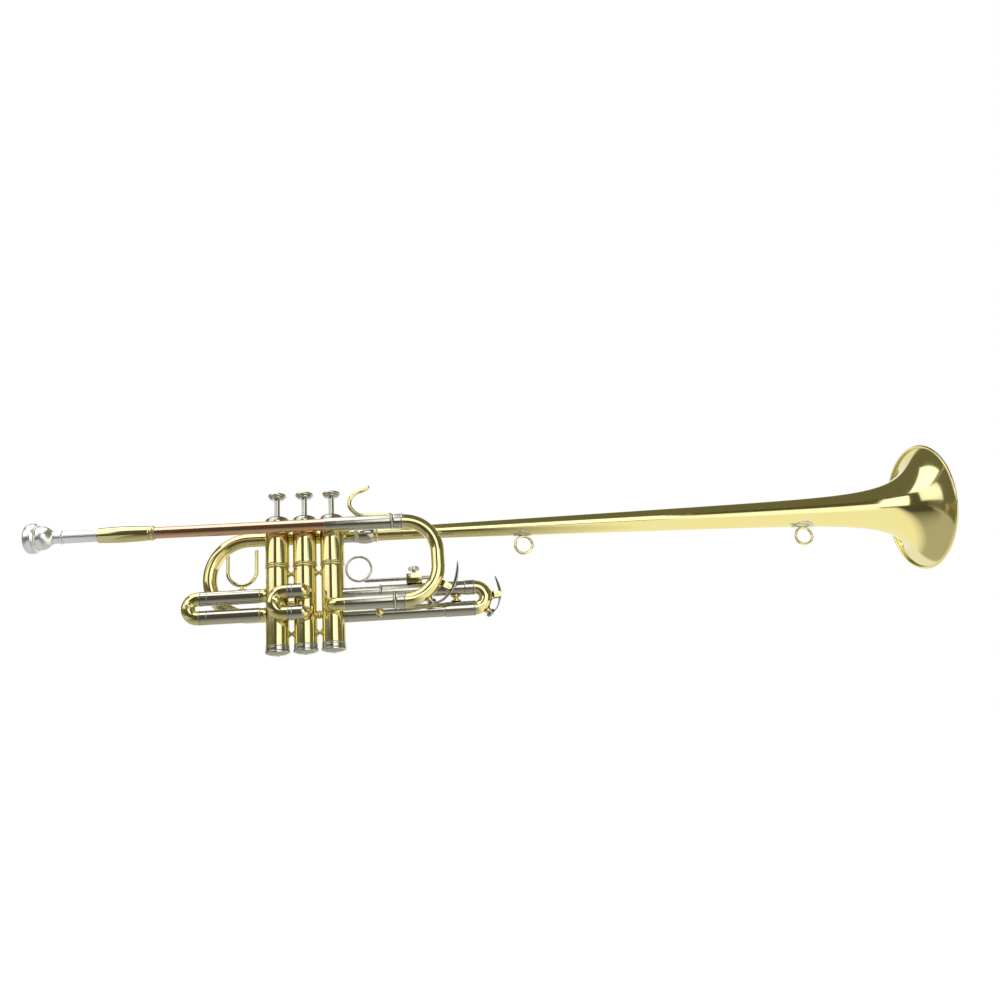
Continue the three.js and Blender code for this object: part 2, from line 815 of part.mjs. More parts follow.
// Valve casing with bands, threads, ports and the guide bar across its bore
function casing(number, ports, parent) {
  const bandHigh = bandLow + bandWidth;
  const profile = [
    [casingBore, -casingDrop],
    [bottomThreadRadius, -casingDrop],
    [bottomThreadRadius, -bottomThreadStart],
    [casingRadius, -bottomThreadStart],
    [casingRadius, bandLow],
    [bandRadius, bandLow],
    [bandRadius, bandHigh],
    [upperCasingRadius, bandHigh],
    [upperCasingRadius, topThreadStart],
    [threadRadius, topThreadStart],
    [threadRadius, casingRise],
    [casingBore, casingRise],
  ];
  const half = (casingBore + casingRadius) / 2;
  const bar = box(-guideWidth / 2, guideWidth / 2, -half, half, guideRise, guideRise + guideHeight);
  let body = joined(turnedZ(profile), bar);
  if (number === 2) body = [-1, 1].reduce((all, side) => all.add(neighbourLinks(side)), body);
  const holes = ports.map(({ direction, height }) => portTool(direction, height));
  const boreThrough = rodZ(casingBore, -joinTubeDrop - joinTubeRadius - overrun, -portRadius + overrun, 0, 0);
  const links = number === 2 ? [boreThrough, casingCutter(-valvePitch), casingCutter(valvePitch)] : [];
  addPiece(`casing_${number}`, surface(cutBy(body, ...links, ...holes)), lacqueredBrass, parent);
}

// The tube and the two studs that join the middle casing to its neighbour
function neighbourLinks(side) {
  const start = side * (casingBore + casingRadius) / 2;
  const end = side * (valvePitch - casingBore);
  const profile = pipeProfile(joinTubeRadius, portRadius, Math.min(start, end), Math.max(start, end));
  const tube = turnedX(profile, 0, -joinTubeDrop);
  const studs = [studRise, -studDrop].map((height) => rodX(studRadius, start, end, 0, height, wireSides + 2));
  return joined(tube, ...studs);
}

// Ways out of a valve, seen by the player
const compass = { left: vec(-1, 0, 0), right: vec(1, 0, 0), front: vec(0, -1, 0), back: vec(0, 1, 0) };

// A round hole from the valve's axis out through the casing's wall
function portTool(direction, height) {
  const end = compass[direction].clone().multiplyScalar(valvePitch / 2).setZ(height);
  return rodBetween(portRadius, vec(0, 0, height), end, portSides);
}

// Piston with its rest passage, its two pressed passages and the slotted spring barrel
function piston(number, rest, pressed, parent) {
  const profile = [
    [0, -pistonDrop + pistonCupDepth],
    [pistonCupRadius, -pistonDrop + pistonCupDepth],
    [pistonCupRadius, -pistonDrop],
    [pistonRadius, -pistonDrop],
    [pistonRadius, pistonRise],
    [spigotRadius + spigotPlay, pistonRise],
    [spigotRadius + spigotPlay, barrelCeiling],
    [barrelBore, barrelCeiling],
    [barrelBore, barrelFloor],
    [0, barrelFloor],
  ];
  const slotHalf = guideWidth / 2 + slotMargin;
  const slot = box(-slotHalf, slotHalf, -casingRadius, casingRadius,
    guideRise - slotMargin, guideRise + guideHeight + stroke + slotMargin);
  const passages = [
    passageTool(rest, restPassageRadius, 0),
    ...pressed.map((pair) => passageTool(pair, pressedPassageRadius, stroke)),
  ];
  const body = cutBy(solid(turnedZ(profile)), slot, ...passages);
  addPiece(`piston_${number}`, surface(body), monelMetal, parent);
}

// A straight passage that joins two ports of the casing when the piston has come down by the given way
function passageTool(pair, radius, way) {
  const [from, to] = pair.map(({ direction, height }) => {
    return compass[direction].clone().multiplyScalar(pistonRadius).setZ(height + way);
  });
  const along = to.clone().sub(from).setLength(passageOverrun);
  return rodBetween(radius, from.clone().sub(along), to.clone().add(along), portSides);
}

function stemAndButton(number, parent) {
  const seat = pistonRise + gap;
  const stem = turnedZ([
    [0, barrelCeiling + gap],
    [spigotRadius, barrelCeiling + gap],
    [spigotRadius, seat],
    [stemSeatRadius, seat],
    [stemSeatRadius, seat + stemSeatThickness],
    [stemRadius, seat + stemSeatThickness],
    [stemRadius, stemTop],
    [spigotRadius, stemTop],
    [spigotRadius, stemTop + buttonSpigotLength],
    [0, stemTop + buttonSpigotLength],
  ], wireSides + 4);
  addPiece(`stem_${number}`, stem, nickelPlate, parent);
  const rimLow = buttonBase + buttonTierHeight;
  const rimHigh = rimLow + buttonRimHeight;
  const button = turnedZ([
    [spigotRadius + spigotPlay, buttonBase],
    [buttonTierRadius - buttonInlayDepth, buttonBase],
    [buttonTierRadius, rimLow],
    [buttonRadius, rimLow + buttonRimHeight / 3],
    [buttonRadius, rimHigh],
    [buttonInlayRadius, rimHigh + buttonDome],
    [buttonInlayRadius - buttonInlayDepth, rimHigh + buttonDome - buttonInlayDepth],
    [0, rimHigh + buttonDome - buttonInlayDepth],
    [0, stemTop + buttonSpigotLength + gap],
    [spigotRadius + spigotPlay, stemTop + buttonSpigotLength + gap],
  ], tubeSides);
  addPiece(`button_${number}`, button, nickelPlate, parent);
}

function valveSpring(number, parent) {
  const foot = guideRise + guideHeight + gap + springWire;
  const top = barrelCeiling - gap - springWire;
  const points = coil(`spring_${number}`, springRadius, springWire, springTurns, top - foot);
  addPiece(`spring_${number}`, coilSolid(points, springWire).translate(0, 0, foot), springSteel, parent);
}

function valveCaps(number, parent) {
  const top = turnedZ([
    [capBore, topCapSkirt],
    [capRadius, topCapSkirt],
    [capRadius, topCapShoulder],
    [topCapBulgeRadius, topCapBulge],
    [topCapCrownRadius, topCapCrown],
    [topCapHole, topCapCrown],
    [topCapHole, topCapCeiling],
    [capBore, topCapCeiling],
  ]);
  addPiece(`top_cap_${number}`, top, nickelPlate, parent);
  const bottom = turnedZ([
    [bottomCapBore, -bottomCapSkirt],
    [bottomSkirtRadius, -bottomCapSkirt],
    [bottomSkirtRadius, -bottomFlangeTop],
    [bottomFlangeRadius, -bottomFlangeTop],
    [bottomFlangeRadius, -bottomFlangeLow],
    [bottomDomeRadius, -bottomDome],
    [ventRadius, -bottomDome],
    [ventRadius, -bottomCapFloor],
    [bottomCapBore, -bottomCapFloor],
  ]);
  addPiece(`bottom_cap_${number}`, bottom, nickelPlate, parent);
}

const port = (direction, drop) => ({ direction, height: -drop });

// Ports of each valve: the wind's way in and out, and the upper and lower port of the valve's slide.
// At rest the piston joins in and out, and pressed it joins each of them to one port of the slide.
const valves = [
  {
    windIn: port('right', joinTubeDrop),
    windOut: port('back', bellDepartDrop),
    upper: port('left', firstUpperDrop),
    lower: port('left', firstLowerDrop),
  },
  {
    windIn: port('left', joinTubeDrop),
    windOut: port('right', joinTubeDrop),
    upper: port('front', secondUpperDrop),
    lower: port('front', secondLowerDrop),
  },
  {
    windIn: port('left', joinTubeDrop),
    windOut: port('front', lowerLegDrop),
    upper: port('right', thirdUpperDrop),
    lower: port('right', thirdLowerDrop),
  },
];

function valveBlock() {
  valves.forEach(({ windIn, windOut, upper, lower }, i) => {
    const group = new THREE.Group();
    group.position.x = (i - 1) * valvePitch;
    trumpet.add(group);
    casing(i + 1, [windIn, windOut, upper, lower], group);
    piston(i + 1, [windIn, windOut], [[windIn, lower], [windOut, upper]], group);
    stemAndButton(i + 1, group);
    valveSpring(i + 1, group);
    valveCaps(i + 1, group);
  });
}

// A straight sleeve soldered square to a casing
function casingSleeve(valveX, from, openEnd, boreStart, height) {
  const pastEnd = openEnd + Math.sign(openEnd - from) * overrun;
  const sleeve = solid(rodX(sleeveRadius, from, openEnd, 0, height));
  const airway = rodX(tubeBore, from, pastEnd, 0, height);
  const counterbore = rodX(sleeveBore, boreStart, pastEnd, 0, height);
  return cutBy(sleeve, airway, counterbore, casingCutter(valveX));
}

// A short crook in one piece: two legs, two ferrules, a bow and a pull knob
function shortSlide(legEnd, ferruleStart, bowStart, y, upper, lower, knobWay) {
  const bend = (upper - lower) / 2;
  const sign = Math.sign(bowStart - legEnd);
  const whole = bowPath(legEnd, bowStart, bend, y, upper, lower);
  const bow = bowPath(ferruleStart, bowStart, bend, y, upper, lower);
  const legs = [upper, lower].flatMap((height) => [
    rodX(legRadius, legEnd, bowStart, y, height),
    rodX(ferruleRadius, ferruleStart, bowStart, y, height),
  ]);
  const crown = vec(bowStart + sign * bend, y, (upper + lower) / 2);
  const neckEnd = crown.clone().addScaledVector(knobWay, bowRadius + knobReach);
  const headEnd = neckEnd.clone().addScaledVector(knobWay, knobHeadLength);
  const neck = rodBetween(knobNeckRadius, crown, neckEnd);
  const head = rodBetween(knobHeadRadius, neckEnd, headEnd, wireSides + 4);
  const outer = joined(swept(bow, bowRadius), ...legs, neck, head);
  return surface(cutBy(outer, swept(longer(whole), tubeBore)));
}

function firstValveSlide() {
  const heights = [-firstUpperDrop, -firstLowerDrop];
  const names = ['first_upper_sleeve', 'first_lower_sleeve'];
  heights.forEach((height, i) => {
    const start = -valvePitch - casingBore;
    const sleeve = casingSleeve(-valvePitch, start, firstSleeveEnd, firstSleeveBoreStart, height);
    addPiece(names[i], surface(sleeve), nickelPlate);
  });
  const knobWay = vec(0.18, -0.92, 0.34).normalize();
  const crook = shortSlide(firstLegStart, firstSleeveEnd - gap, firstBowStart, 0, ...heights, knobWay);
  addPiece('first_slide', crook, lacqueredBrass);
  thumbSaddle();
}

// Open wire loop for the left thumb, standing on the first slide's upper sleeve
function thumbSaddle() {
  const bend = (saddleRight - saddleLeft) / 2;
  const middle = (saddleRight + saddleLeft) / 2;
  const corners = [
    vec(saddleLeft, 0, saddleLeftTop),
    vec(saddleLeft, 0, saddleBottom),
    vec(saddleRight, 0, saddleBottom),
    vec(saddleRight, 0, saddleRightTop),
  ];
  const wire = swept(route(corners, [bend, bend]), saddleWire, 0, wireSides);
  const foot = box(middle - saddleFootLength / 2, middle + saddleFootLength / 2,
    -saddleFootWidth / 2, saddleFootWidth / 2, -firstUpperDrop, saddleBottom);
  const seat = rodX(sleeveRadius + gap, saddleLeft, saddleRight, 0, -firstUpperDrop);
  addPiece('thumb_saddle', surface(cutBy(joined(wire, foot), seat)), lacqueredBrass);
}

function secondValveSlide() {
  const heights = [-secondUpperDrop, -secondLowerDrop];
  const names = ['second_upper_sleeve', 'second_lower_sleeve'];
  const y = -sideOffset;
  heights.forEach((height, i) => {
    const { outer, tools } = knuckle(secondPortX, secondSleeveStart, height, 0);
    const body = outer.add(solid(rodX(sleeveRadius, secondSleeveStart, secondSleeveEnd, y, height)));
    const counterbore = rodX(sleeveBore, secondSleeveStart - overrun, secondLegEnd + gap, y, height);
    addPiece(names[i], surface(cutBy(body, ...tools, counterbore)), nickelPlate);
  });
  const knobWay = vec(0.25, -0.95, 0.2).normalize();
  const crook = shortSlide(secondLegEnd, secondSleeveStart - gap, secondBowStart, y, ...heights, knobWay);
  addPiece('second_slide', crook, lacqueredBrass);
}

function thirdValveSlide(slide) {
  const upper = -thirdUpperDrop;
  const lower = -thirdLowerDrop;
  const start = valvePitch + casingBore;
  const inner = solid(turnedX(pipeProfile(legRadius, tubeBore, start, thirdInnerEnd), 0, upper));
  addPiece('third_inner_tube', surface(cutBy(inner, casingCutter(valvePitch))), nickelPlate);
  const sleeve = casingSleeve(valvePitch, start, thirdSleeveEnd, thirdSleeveBoreStart, lower);
  const bore = rodX(sleeveBore, thirdSleeveBoreStart, thirdSleeveEnd + overrun, 0, lower);
  const braced = cutBy(sleeve.add(crossBrace()), bore);
  addPiece('third_lower_sleeve', surface(braced), nickelPlate);
  addPiece('third_outer_tube', thirdOuterTube(upper, lower), nickelPlate, slide);
  const leg = legProfile(thirdLegStart, thirdSleeveEnd + gap, thirdBowStart);
  addPiece('third_lower_leg', turnedX(leg, 0, lower), nickelPlate, slide);
  const bend = (upper - lower) / 2;
  const path = bowPath(thirdBowStart - socketDepth + gap, thirdBowStart, bend, 0, upper, lower);
  const centre = { x: thirdBowStart, y: 0, z: lower + bend, bend };
  addPiece('third_bow', drilledBow(path, centre, thirdNozzleAngle), lacqueredBrass, slide);
  waterKey('third_key', slide, centre, path, {
    nozzle: thirdNozzleAngle, pivot: thirdPivotAngle, pivotReach: thirdPivotReach,
    tip: thirdTipAngle, tipReach: thirdTipReach,
  });
  fingerRing(slide);
}

// Beaded brace between the two fixed lower sleeves
function crossBrace() {
  const front = vec(crossBraceX, crossBraceFront, -crossBraceFrontDrop);
  const back = vec(crossBraceX, crossBraceBack, -crossBraceBackDrop);
  const middle = front.clone().lerp(back, 1 / 2);
  const bead = new THREE.SphereGeometry(crossBraceBead, wireSides + 2, wireSides);
  const brace = joined(rodBetween(crossBraceRadius, front, back, wireSides + 2),
    bead.translate(middle.x, middle.y, middle.z));
  return cutBy(brace, rodX(sleeveRadius + gap, knuckleEnd, mainSleeveEnd, -sideOffset, -lowerLegDrop));
}

// Sliding upper tube with its end ring, ferrule, the ring's block and the spool to the lower leg
function thirdOuterTube(upper, lower) {
  const profile = [
    [sleeveBore, thirdOuterStart],
    [endRingRadius, thirdOuterStart],
    [endRingRadius, thirdOuterStart + endRingWidth],
    [sleeveRadius, thirdOuterStart + endRingWidth],
    [sleeveRadius, thirdBowStart - 2 * socketDepth],
    [ferruleRadius, thirdBowStart - 2 * socketDepth],
    [ferruleRadius, thirdBowStart],
    [ferruleBore, thirdBowStart],
    [ferruleBore, thirdBowStart - socketDepth],
    [sleeveBore, thirdBowStart - socketDepth],
  ];
  const spoolTop = upper - (sleeveRadius + sleeveBore) / 2;
  const spoolLow = lower + ferruleRadius + gap;
  const spool = [
    rodZ(spoolRadius, spoolLow, spoolTop, spoolX, 0, wireSides + 2),
    rodZ(spoolFlange, spoolLow, spoolLow + spoolFlangeHeight, spoolX, 0, wireSides + 2),
    rodZ(spoolFlange, spoolTop - spoolFlangeHeight, spoolTop, spoolX, 0, wireSides + 2),
  ];
  const block = box(blockStart, blockEnd, blockFront, blockBack, blockBottom, blockTop);
  const body = joined(turnedX(profile, 0, upper), block, ...spool);
  return surface(cutBy(body,
    rodX(sleeveBore, blockStart - overrun, blockEnd + overrun, 0, upper),
    rodX(rodRadius + gap, blockStart - overrun, blockEnd + overrun, ringPlane, rodHeight, wireSides + 4),
    rodZ(screwRadius + gap, rodHeight, blockTop + overrun, screwX, ringPlane, wireSides + 4),
  ));
}

function fingerRing(slide) {
  const ring = new THREE.TorusGeometry(ringRadius, ringWire, wireSides, tubeSides + 4);
  ring.rotateX(Math.PI / 2).translate(ringX, ringPlane, ringRadius + rodHeight);
  const rod = rodX(rodRadius, rodStart, rodEnd, ringPlane, rodHeight, wireSides + 4);
  addPiece('finger_ring', surface(joined(ring, rod)), nickelPlate, slide);
  const foot = rodHeight + rodRadius + gap;
  const head = blockTop + screwNeck;
  const screw = turnedZ([
    [0, foot],
    [screwRadius, foot],
    [screwRadius, head],
    [screwHeadRadius, head],
    [screwHeadRadius, head + screwHeadHeight - screwHeadChamfer],
    [screwHeadRadius - screwHeadChamfer, head + screwHeadHeight],
    [0, head + screwHeadHeight],
  ], wireSides + 4);
  addPiece('thumb_screw', screw.translate(screwX, ringPlane, 0), lacqueredBrass, slide);
}

// Outer radius of the bell at a place along X
function bellRadius(x) {
  const cone = bellTubeRadius + Math.max(0, x - coneStart) * coneSlope;
  const coneAtRim = bellTubeRadius + (bellEnd - coneStart) * coneSlope;
  const inset = (bellEnd - x) / flareLength;
  return cone + (bellRimRadius - coneAtRim) * Math.exp(-(inset ** flarePower));
}

// The bell's outline inside its wall, a wall's thickness in from the outside
function insideWall(x) {
  const slope = (bellRadius(x + gap) - bellRadius(x - gap)) / (2 * gap);
  const length = Math.hypot(1, slope);
  return [bellRadius(x) - bellWall / length, x + (bellWall * slope) / length];
}

// Places along X where the bell's outline has its corners
const straightShares = [0, 0.11, 0.82];
const flareShares = [0.87, 0.905, 0.93, 0.95, 0.965, 0.977, 0.987];
const bellShares = [...straightShares, ...flareShares];
const bellCorners = bellShares.map((share) => bellStart + (bellEnd - bellStart) * share);
const places = [...bellCorners, bellSeam].sort((a, b) => a - b);
const lastPlace = places[places.length - 1];

// The bell's sheet from one place to another, and what closes it at its wide end
function bellSheet(from, to, rim = []) {
  const stations = [from, ...places.filter((x) => x > from && x < to), to];
  const outside = stations.map((x) => [bellRadius(x), x]);
  return [...outside, ...rim, ...stations.map(insideWall).reverse()];
}

// A drawn tail and a spun flare that meet at a brazed seam
function bell() {
  const back = bellEnd - 2 * rimBead;
  const rim = [
    [bellRimRadius - 2 * rimBead, back],
    [bellRimRadius - rimBead / 2, back],
    [bellRimRadius, back + rimBead / 2],
    [bellRimRadius, bellEnd - rimBead / 2],
    [bellRimRadius - rimBead / 2, bellEnd],
    [bellRimRadius - rimBead / 2 - rimFlat, bellEnd],
  ];
  const tail = bellSheet(bellStart, bellSeam - gap / 2);
  const flare = bellSheet(bellSeam + gap / 2, lastPlace, rim);
  addPiece('bell_tail', turnedX(tail, sideOffset, bellHeight, bellSides), lacqueredBrass);
  addPiece('bell_flare', turnedX(flare, sideOffset, bellHeight, bellSides), lacqueredBrass);
}

function bellBow() {
  const corners = [
    vec(bellDepartX, casingBore, -bellDepartDrop),
    vec(bellDepartX, sideOffset, -bellDepartDrop),
    vec(bellBowX, sideOffset, -bellDepartDrop),
    vec(bellBowX, sideOffset, bellHeight),
    vec(bellBowEnd, sideOffset, bellHeight),
  ];
  const bend = (bellHeight + bellDepartDrop) / 2;
  const tube = swept(route(corners, [bellElbow, bend, bend]), bellTubeRadius, bellTubeRadius - bellBowWall);
  addPiece('bell_bow', surface(cutBy(solid(tube), casingCutter(-valvePitch))), lacqueredBrass);
  const bore = bellTubeRadius + ferrulePlay;
  const middle = (bellFerruleStart + bellFerruleEnd) / 2;
  const ferrule = turnedX([
    [bore, bellFerruleStart],
    [bellFerruleRadius, bellFerruleStart],
    [bellFerruleBelly, middle - bellFerruleShoulder],
    [bellFerruleBelly, middle + bellFerruleShoulder],
    [bellFerruleRadius, bellFerruleEnd],
    [bore, bellFerruleEnd],
  ], sideOffset, bellHeight);
  addPiece('bell_ferrule', ferrule, nickelPlate);
}

// Brace that ties the upper sleeve to the bell's bow
function bellBrace() {
  const from = -sideOffset;
  const to = sideOffset;
  const height = (leadHeight + bellHeight) / 2;
  const front = from + sleeveRadius + braceFlangeLength;
  const back = to - bellTubeRadius - braceFlangeLength;
  const pieces = [
    rodY(braceRadius, from, to, braceX, height, wireSides + 2),
    rodY(braceFlange, from, front, braceX, height, wireSides + 4),
    rodY(braceFlange, back, to, braceX, height, wireSides + 4),
  ];
  const left = braceX - 2 * braceFlange;
  const right = braceX + 2 * braceFlange;
  const seats = [
    rodX(sleeveRadius + gap, left, right, from, leadHeight),
    rodX(bellTubeRadius + gap, left, right, to, bellHeight),
  ];
  addPiece('bell_brace', surface(cutBy(joined(...pieces), ...seats)), lacqueredBrass);
}

// A flag ring soldered to a lens-shaped plate under the bell
function flagHangers() {
  const grown = places.map((x) => [bellRadius(x) + gap, x]);
  const seat = turnedX([[0, bellStart], ...grown, [0, lastPlace]], sideOffset, bellHeight, bellSides);
  flagRings.forEach(({ x, length, width }, i) => {
    const [from, to] = [x - length, x + length];
    const shell = turnedX([
      [bellTubeRadius, from],
      [bellRadius(from) + gap + flagPlateThickness, from],
      [bellRadius(to) + gap + flagPlateThickness, to],
      [bellTubeRadius, to],
    ], sideOffset, bellHeight, bellSides);
    const lens = rodZ(1, bellHeight - bellRadius(to) - overrun, bellHeight, 0, 0, tubeSides);
    lens.scale(length, width, 1).translate(x, sideOffset, 0);
    const plate = solid(shell).intersect(solid(lens));
    const top = bellHeight - bellRadius(x) - gap - flagPlateThickness / 2;
    const ring = new THREE.TorusGeometry(flagRingRadius, flagWire, wireSides, tubeSides);
    ring.rotateX(Math.PI / 2).translate(x, sideOffset, top - flagRingRadius - flagWire / 2);
    addPiece(`flag_ring_${i + 1}`, surface(cutBy(plate.add(solid(ring)), seat)), lacqueredBrass);
  });
}

const tuningSlide = new THREE.Group();
const thirdSlide = new THREE.Group();
trumpet.add(tuningSlide, thirdSlide);

mouthpiece();
receiver();
leadpipe();
mainTuningSlide(tuningSlide);
fingerHook();
valveBlock();
firstValveSlide();
secondValveSlide();
thirdValveSlide(thirdSlide);
bell();
bellBow();
bellBrace();
flagHangers();

export default trumpet;
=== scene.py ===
# %% [markdown]
# # A herald trumpet
# The part is a trumpet whose bell runs straight on for half a metre, so that a banner can hang below it.
# Nearly every piece of it is a tube, a wire or a turned fitting, in lacquered brass, rose brass,
# nickel or silver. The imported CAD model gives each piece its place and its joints, and this file
# gives it its shape in fine detail and its finish. Lengths below are in millimetres, and become
# metres when a mesh is made.

import json
import math

import bmesh
import bpy
from mathutils import Matrix, Vector

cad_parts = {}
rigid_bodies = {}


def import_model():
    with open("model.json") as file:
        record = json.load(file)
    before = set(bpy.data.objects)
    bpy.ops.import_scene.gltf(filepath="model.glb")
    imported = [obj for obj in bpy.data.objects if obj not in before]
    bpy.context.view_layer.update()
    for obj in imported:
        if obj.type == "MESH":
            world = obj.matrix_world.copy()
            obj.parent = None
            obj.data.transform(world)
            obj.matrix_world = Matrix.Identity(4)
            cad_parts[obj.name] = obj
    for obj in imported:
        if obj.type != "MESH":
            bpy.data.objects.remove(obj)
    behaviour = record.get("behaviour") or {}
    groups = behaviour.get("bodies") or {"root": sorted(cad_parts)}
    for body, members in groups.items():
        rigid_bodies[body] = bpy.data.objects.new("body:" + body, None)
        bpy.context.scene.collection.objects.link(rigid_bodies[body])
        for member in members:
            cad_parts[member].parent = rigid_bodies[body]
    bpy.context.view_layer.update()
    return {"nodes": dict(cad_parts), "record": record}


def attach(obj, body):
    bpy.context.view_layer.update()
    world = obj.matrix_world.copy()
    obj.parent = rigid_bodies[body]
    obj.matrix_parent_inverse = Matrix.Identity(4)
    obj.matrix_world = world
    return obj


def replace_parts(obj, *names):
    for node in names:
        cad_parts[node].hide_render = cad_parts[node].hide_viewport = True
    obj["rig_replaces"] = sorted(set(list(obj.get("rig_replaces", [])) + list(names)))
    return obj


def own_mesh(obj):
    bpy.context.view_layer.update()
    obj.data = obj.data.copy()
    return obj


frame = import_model()
scene = bpy.context.scene
MM = 0.001
print("CAD nodes:", len(frame["nodes"]))

# %% [markdown]
# ## Camera
# The picture was taken with an ordinary lens, a little to the right of the valves and a little below
# them. The camera's three axes were worked out from the parallel tubes and the upright casings, so
# they are written down as they are, and no picture of the object is needed to place it.

# %% Camera
camera_data = bpy.data.cameras.new("camera")
camera_data.sensor_width = 36
camera_data.lens = 0.9 * camera_data.sensor_width
camera = bpy.data.objects.new("camera", camera_data)
scene.collection.objects.link(camera)
scene.camera = camera
right = Vector((0.99405816, -0.08108098, -0.07262403))
down = Vector((-0.04658132, 0.28614128, -0.95705452))
ahead = Vector((0.09837965, 0.95475077, 0.28066422))
turn = Matrix((right, -down, -ahead)).transposed()
camera.matrix_world = Matrix.Translation((0.10072, -0.83139, -0.17137)) @ turn.to_4x4()
print("camera at", [round(value, 3) for value in camera.location])

# %% [markdown]
# ## Sums on sockets
# Node trees are easier to read as sums. This small class wraps an output socket, so that adding or
# multiplying two of them puts a Math node in the tree. It serves the materials and the Geometry
# Nodes below.

# %% A class for sockets
class Link:
    """An output socket of a tree, which can be used in sums."""

    def __init__(self, tree, socket):
        self.tree = tree
        self.socket = socket

    def math(self, operation, *others):
        node = self.tree.nodes.new("ShaderNodeMath")
        node.operation = operation
        for entry, value in zip(node.inputs, (self, *others)):
            feed(self.tree, entry, value)
        return Link(self.tree, node.outputs[0])

    def flipped(self, operation, other):
        node = self.tree.nodes.new("ShaderNodeMath")
        node.operation = operation
        feed(self.tree, node.inputs[0], other)
        feed(self.tree, node.inputs[1], self)
        return Link(self.tree, node.outputs[0])

    def __add__(self, other):
        return self.math("ADD", other)

    def __radd__(self, other):
        return self.math("ADD", other)

    def __sub__(self, other):
        return self.math("SUBTRACT", other)

    def __rsub__(self, other):
        return self.flipped("SUBTRACT", other)

    def __mul__(self, other):
        return self.math("MULTIPLY", other)

    def __rmul__(self, other):
        return self.math("MULTIPLY", other)

    def __truediv__(self, other):
        return self.math("DIVIDE", other)

    def __rtruediv__(self, other):
        return self.flipped("DIVIDE", other)

    def __pow__(self, other):
        return self.math("POWER", other)


def feed(tree, entry, value):
    """Gives an input socket a link or a plain value."""
    if isinstance(value, Link):
        tree.links.new(value.socket, entry)
    else:
        entry.default_value = value


print("sums on sockets: + - * / ** and math(operation)")

# %% [markdown]
# The second class holds a whole tree. One method makes any node from its type, its settings and the
# values of its sockets, which can be numbers, colours or links. Making and wiring each node by hand
# would take four or five lines and would hide the sum.

# %% A class for trees
class Tree:
    """A node tree with one method that makes any node."""

    def __init__(self, group):
        self.group = group

    def node(self, kind, settings=None, output=0, **values):
        """Makes a node. A value named _2 goes into its third socket, others go by the socket's name."""
        node = self.group.nodes.new(kind)
        for name, value in (settings or {}).items():
            setattr(node, name, value)
        for name, value in values.items():
            key = int(name[1:]) if name[0] == "_" else name.replace("_", " ")
            feed(self.group, node.inputs[key], value)
        return Link(self.group, node.outputs[output])

    def feed(self, entry, value):
        feed(self.group, entry, value)

    def parts(self, vector):
        """The X, Y and Z of a vector."""
        first = self.node("ShaderNodeSeparateXYZ", _0=vector)
        return [Link(self.group, socket) for socket in first.socket.node.outputs]


def new_material(name):
    """A material with nodes, its tree and its main shader."""
    material = bpy.data.materials.new(name)
    material.use_nodes = True
    return material, Tree(material.node_tree), material.node_tree.nodes["Principled BSDF"]


print("nodes: Tree.node(kind, settings, output, sockets)")

# %% [markdown]
# ## Finishes
# Polished metal looks flat without small faults. The lacquered brass gets a clear coat, a slow change
# of tone where the sheet was heated and drawn, soft smears in its gloss and an uneven skin of lacquer.
# Two attributes, written when the meshes are made, mark the hollow corners, where polish and dirt stay
# dark, and the standing edges, which cloths keep bright. All of it reads Object coordinates.

# %% Metals
def mixed(tree, factor, one, other):
    """One colour turning into another."""
    one, other = (value if isinstance(value, Link) else (*value, 1) for value in (one, other))
    return tree.node("ShaderNodeMix", {"data_type": "RGBA"}, 2, _0=factor, _6=one, _7=other)


def add_bump(tree, shader, height, strength):
    """Feeds a height of a fifth of a millimetre to the shader's normal."""
    bump = tree.node("ShaderNodeBump", Strength=strength, Distance=0.2 * MM, Height=height)
    tree.feed(shader.inputs["Normal"], bump)


def metal(name, body, warm, dirt, worn, gloss, smear, skin, coat, grain=(1, 1, 1)):
    """A polished metal: its two tones, its dirt and bare edges, its gloss, smears, skin and coat."""
    material, tree, shader = new_material(name)
    place = tree.node("ShaderNodeTexCoord", output=3)
    stretched = tree.node("ShaderNodeMapping", Vector=place, Scale=grain)
    slow = tree.node("ShaderNodeTexNoise", Vector=place, Scale=22, Detail=2)
    smears = tree.node("ShaderNodeTexNoise", Vector=place, Scale=110, Detail=4, Distortion=0.6)
    strokes = tree.node("ShaderNodeTexNoise", Vector=stretched, Scale=420, Detail=3)
    hollow = tree.node("ShaderNodeAttribute", {"attribute_name": "hollow"}, output=2)
    edge = tree.node("ShaderNodeAttribute", {"attribute_name": "edge"}, output=2)
    tone = mixed(tree, (slow - 0.35) * 1.6, body, warm)
    dirty = mixed(tree, hollow * (0.5 + smears * 0.5), tone, dirt)
    bright = mixed(tree, edge * 0.5, dirty, worn)
    tree.feed(shader.inputs["Base Color"], bright)
    rough = gloss + (smears ** 2) * smear + strokes * (smear * 0.3) + hollow * 0.25
    tree.feed(shader.inputs["Roughness"], rough)
    shader.inputs["Metallic"].default_value = 1
    if coat:
        tree.feed(shader.inputs["Coat Weight"], 1 - hollow * 0.4 - edge * 0.3)
        shader.inputs["Coat Roughness"].default_value = 0.05
        shader.inputs["Coat IOR"].default_value = 1.4
        shader.inputs["Specular Tint"].default_value = (*worn, 1)
    add_bump(tree, shader, strokes * 0.4 + smears * 0.6, skin)
    return material


print("a metal needs four tones, a gloss, smears, a skin and a coat")

# %% [markdown]
# Each metal is one row. Lacquered brass is a pale yellow, and rose brass has more copper. Nickel is a
# warm grey; a darker copy of it on the levers is painted shade. Silver is nearly white, and the monel
# of the pistons is a duller grey with fine rings from turning. Only the two kinds of brass are lacquered.

# %% The table of metals
RINGS = (1, 1, 30)
